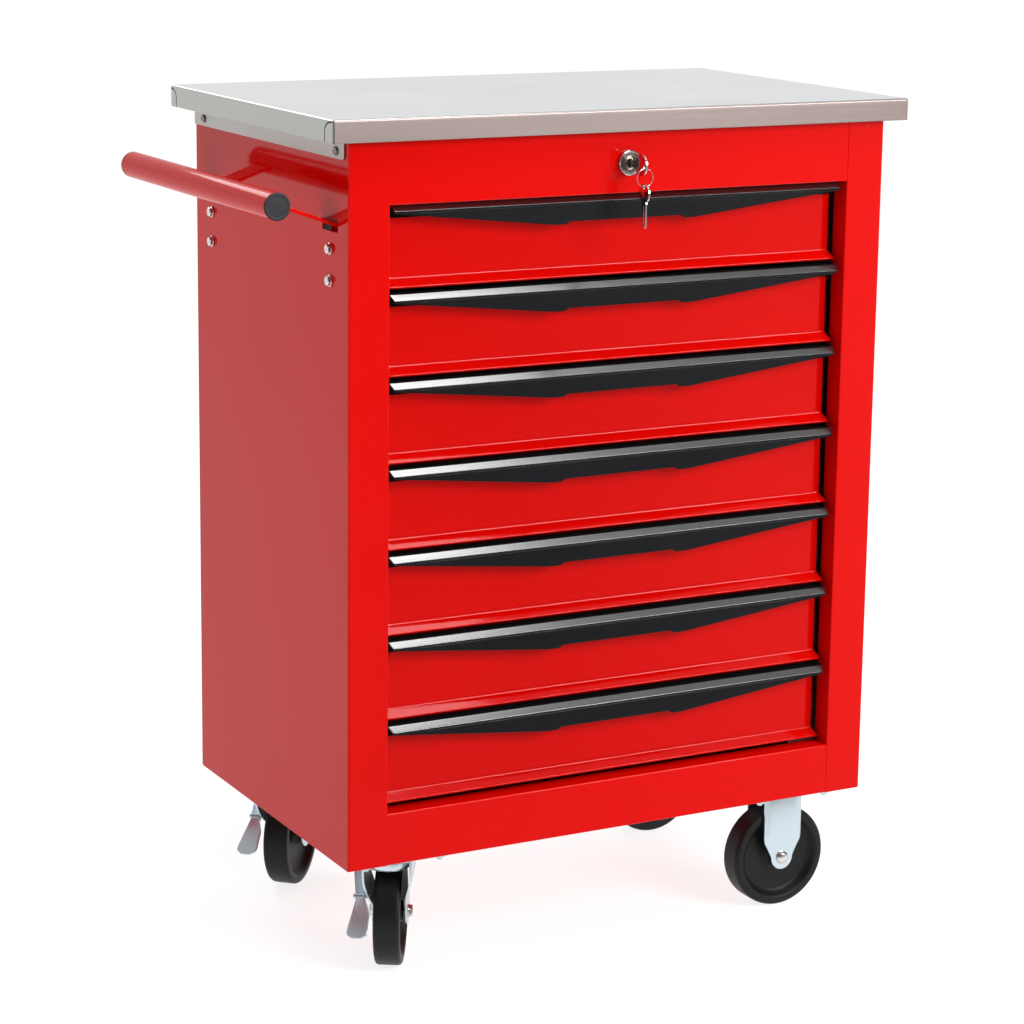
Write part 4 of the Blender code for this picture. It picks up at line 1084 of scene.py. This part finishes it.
zen = smooth(Z, 0.55, 0.85, 0.0, 0.46)                   # overhead
rear = smooth(Y, -0.2, 0.6, 0.0, 1.0)                    # behind the object
low = smooth(Z, 0.35, 0.7, 1.0, 0.0)                     # near the horizon
rim = m2('MULTIPLY', rear, low)
base = m2('ADD', 0.15, m2('MULTIPLY', rim, 0.78))
lvl = m2('ADD', base, zen)
nt.links.new(lvl, bg.inputs["Strength"])
bg.inputs["Color"].default_value = (1.0, 1.0, 1.0, 1)


def area(name, loc, target, size, power, color=(1, 1, 1), spread=180):
    d = bpy.data.lights.new(name, 'AREA')
    d.shape = 'RECTANGLE'
    d.size, d.size_y = size
    d.energy = power
    d.color = color
    d.spread = radians(spread)
    o = bpy.data.objects.new(name, d)
    scene.collection.objects.link(o)
    o.location = loc
    o.rotation_mode = 'QUATERNION'
    o.rotation_quaternion = (Vector(target) - Vector(loc)).to_track_quat('-Z', 'Y')
    return o


area("key", (1.7, -3.4, 2.2), (0.05, -0.2, 0.4), (1.8, 1.6), 136)
area("overhead", (0.35, -0.95, 3.3), (0.2, -0.6, 0.0), (1.8, 1.1), 40)
area("rear_top", (-0.6, 2.6, 2.6), (0.0, 0.0, 0.6), (1.5, 1.1), 20)

# a slanted grey card in front, seen only by mirror-like rays, that keeps the front's reflection deep
me = bpy.data.meshes.new("flag")
me.from_pydata([(-1.2, -0.50, 0.004), (2.6, -0.50, 0.004), (2.6, -1.547, 0.872), (-1.2, -1.547, 0.872)], [], [(0, 1, 2, 3)])
flag = bpy.data.objects.new("flag", me)
scene.collection.objects.link(flag)
gm, nt2, b2 = principled("flag_grey", (0.0, 0.0, 0.0), 1.0, spec=0.0)
tc2 = nt2.nodes.new("ShaderNodeTexCoord")
sp2 = nt2.nodes.new("ShaderNodeSeparateXYZ")
nt2.links.new(tc2.outputs["Object"], sp2.inputs[0])
down = span(nt2, sp2.outputs["Z"], 0.42, 0.0, 0.0, 1.0)
side = span(nt2, sp2.outputs["X"], 0.0, 0.50, 0.25, 1.25)
nt2.links.new(add(nt2, add(nt2, down, side), 0.02), b2.inputs["Emission Strength"])
b2.inputs["Emission Color"].default_value = (1, 1, 1, 1)
me.materials.append(gm)
flag.visible_camera = False
flag.visible_diffuse = False
flag.visible_shadow = False
flag.visible_transmission = False

# ================================================================ camera
cam_data = bpy.data.cameras.new("camera")
cam = bpy.data.objects.new("camera", cam_data)
scene.collection.objects.link(cam)
scene.camera = cam
cam_data.sensor_width = 36.0
cam_data.lens = 2952.66 / 1024 * 36.0
cam_data.shift_y = -60.0 / 1024
cam_data.clip_start, cam_data.clip_end = 0.1, 500
az, el, roll = radians(-28.12), radians(12.0), radians(0.73)
back_v = Vector((sin(az) * cos(el), -cos(az) * cos(el), sin(el)))
fwd = -back_v
right = fwd.cross(Vector((0, 0, 1))).normalized()
up = right.cross(fwd)
r2 = right * cos(roll) + up * sin(roll)
u2 = -right * sin(roll) + up * cos(roll)
pos = Vector((-1.64296 + OX / 1000, -3.0225 + OY / 1000, 1.13432 + OZ / 1000))
cam.matrix_world = Matrix(((r2.x, u2.x, back_v.x, pos.x), (r2.y, u2.y, back_v.y, pos.y), (r2.z, u2.z, back_v.z, pos.z), (0, 0, 0, 1)))

scene.view_settings.view_transform = 'Standard'
scene.view_settings.look = 'None'
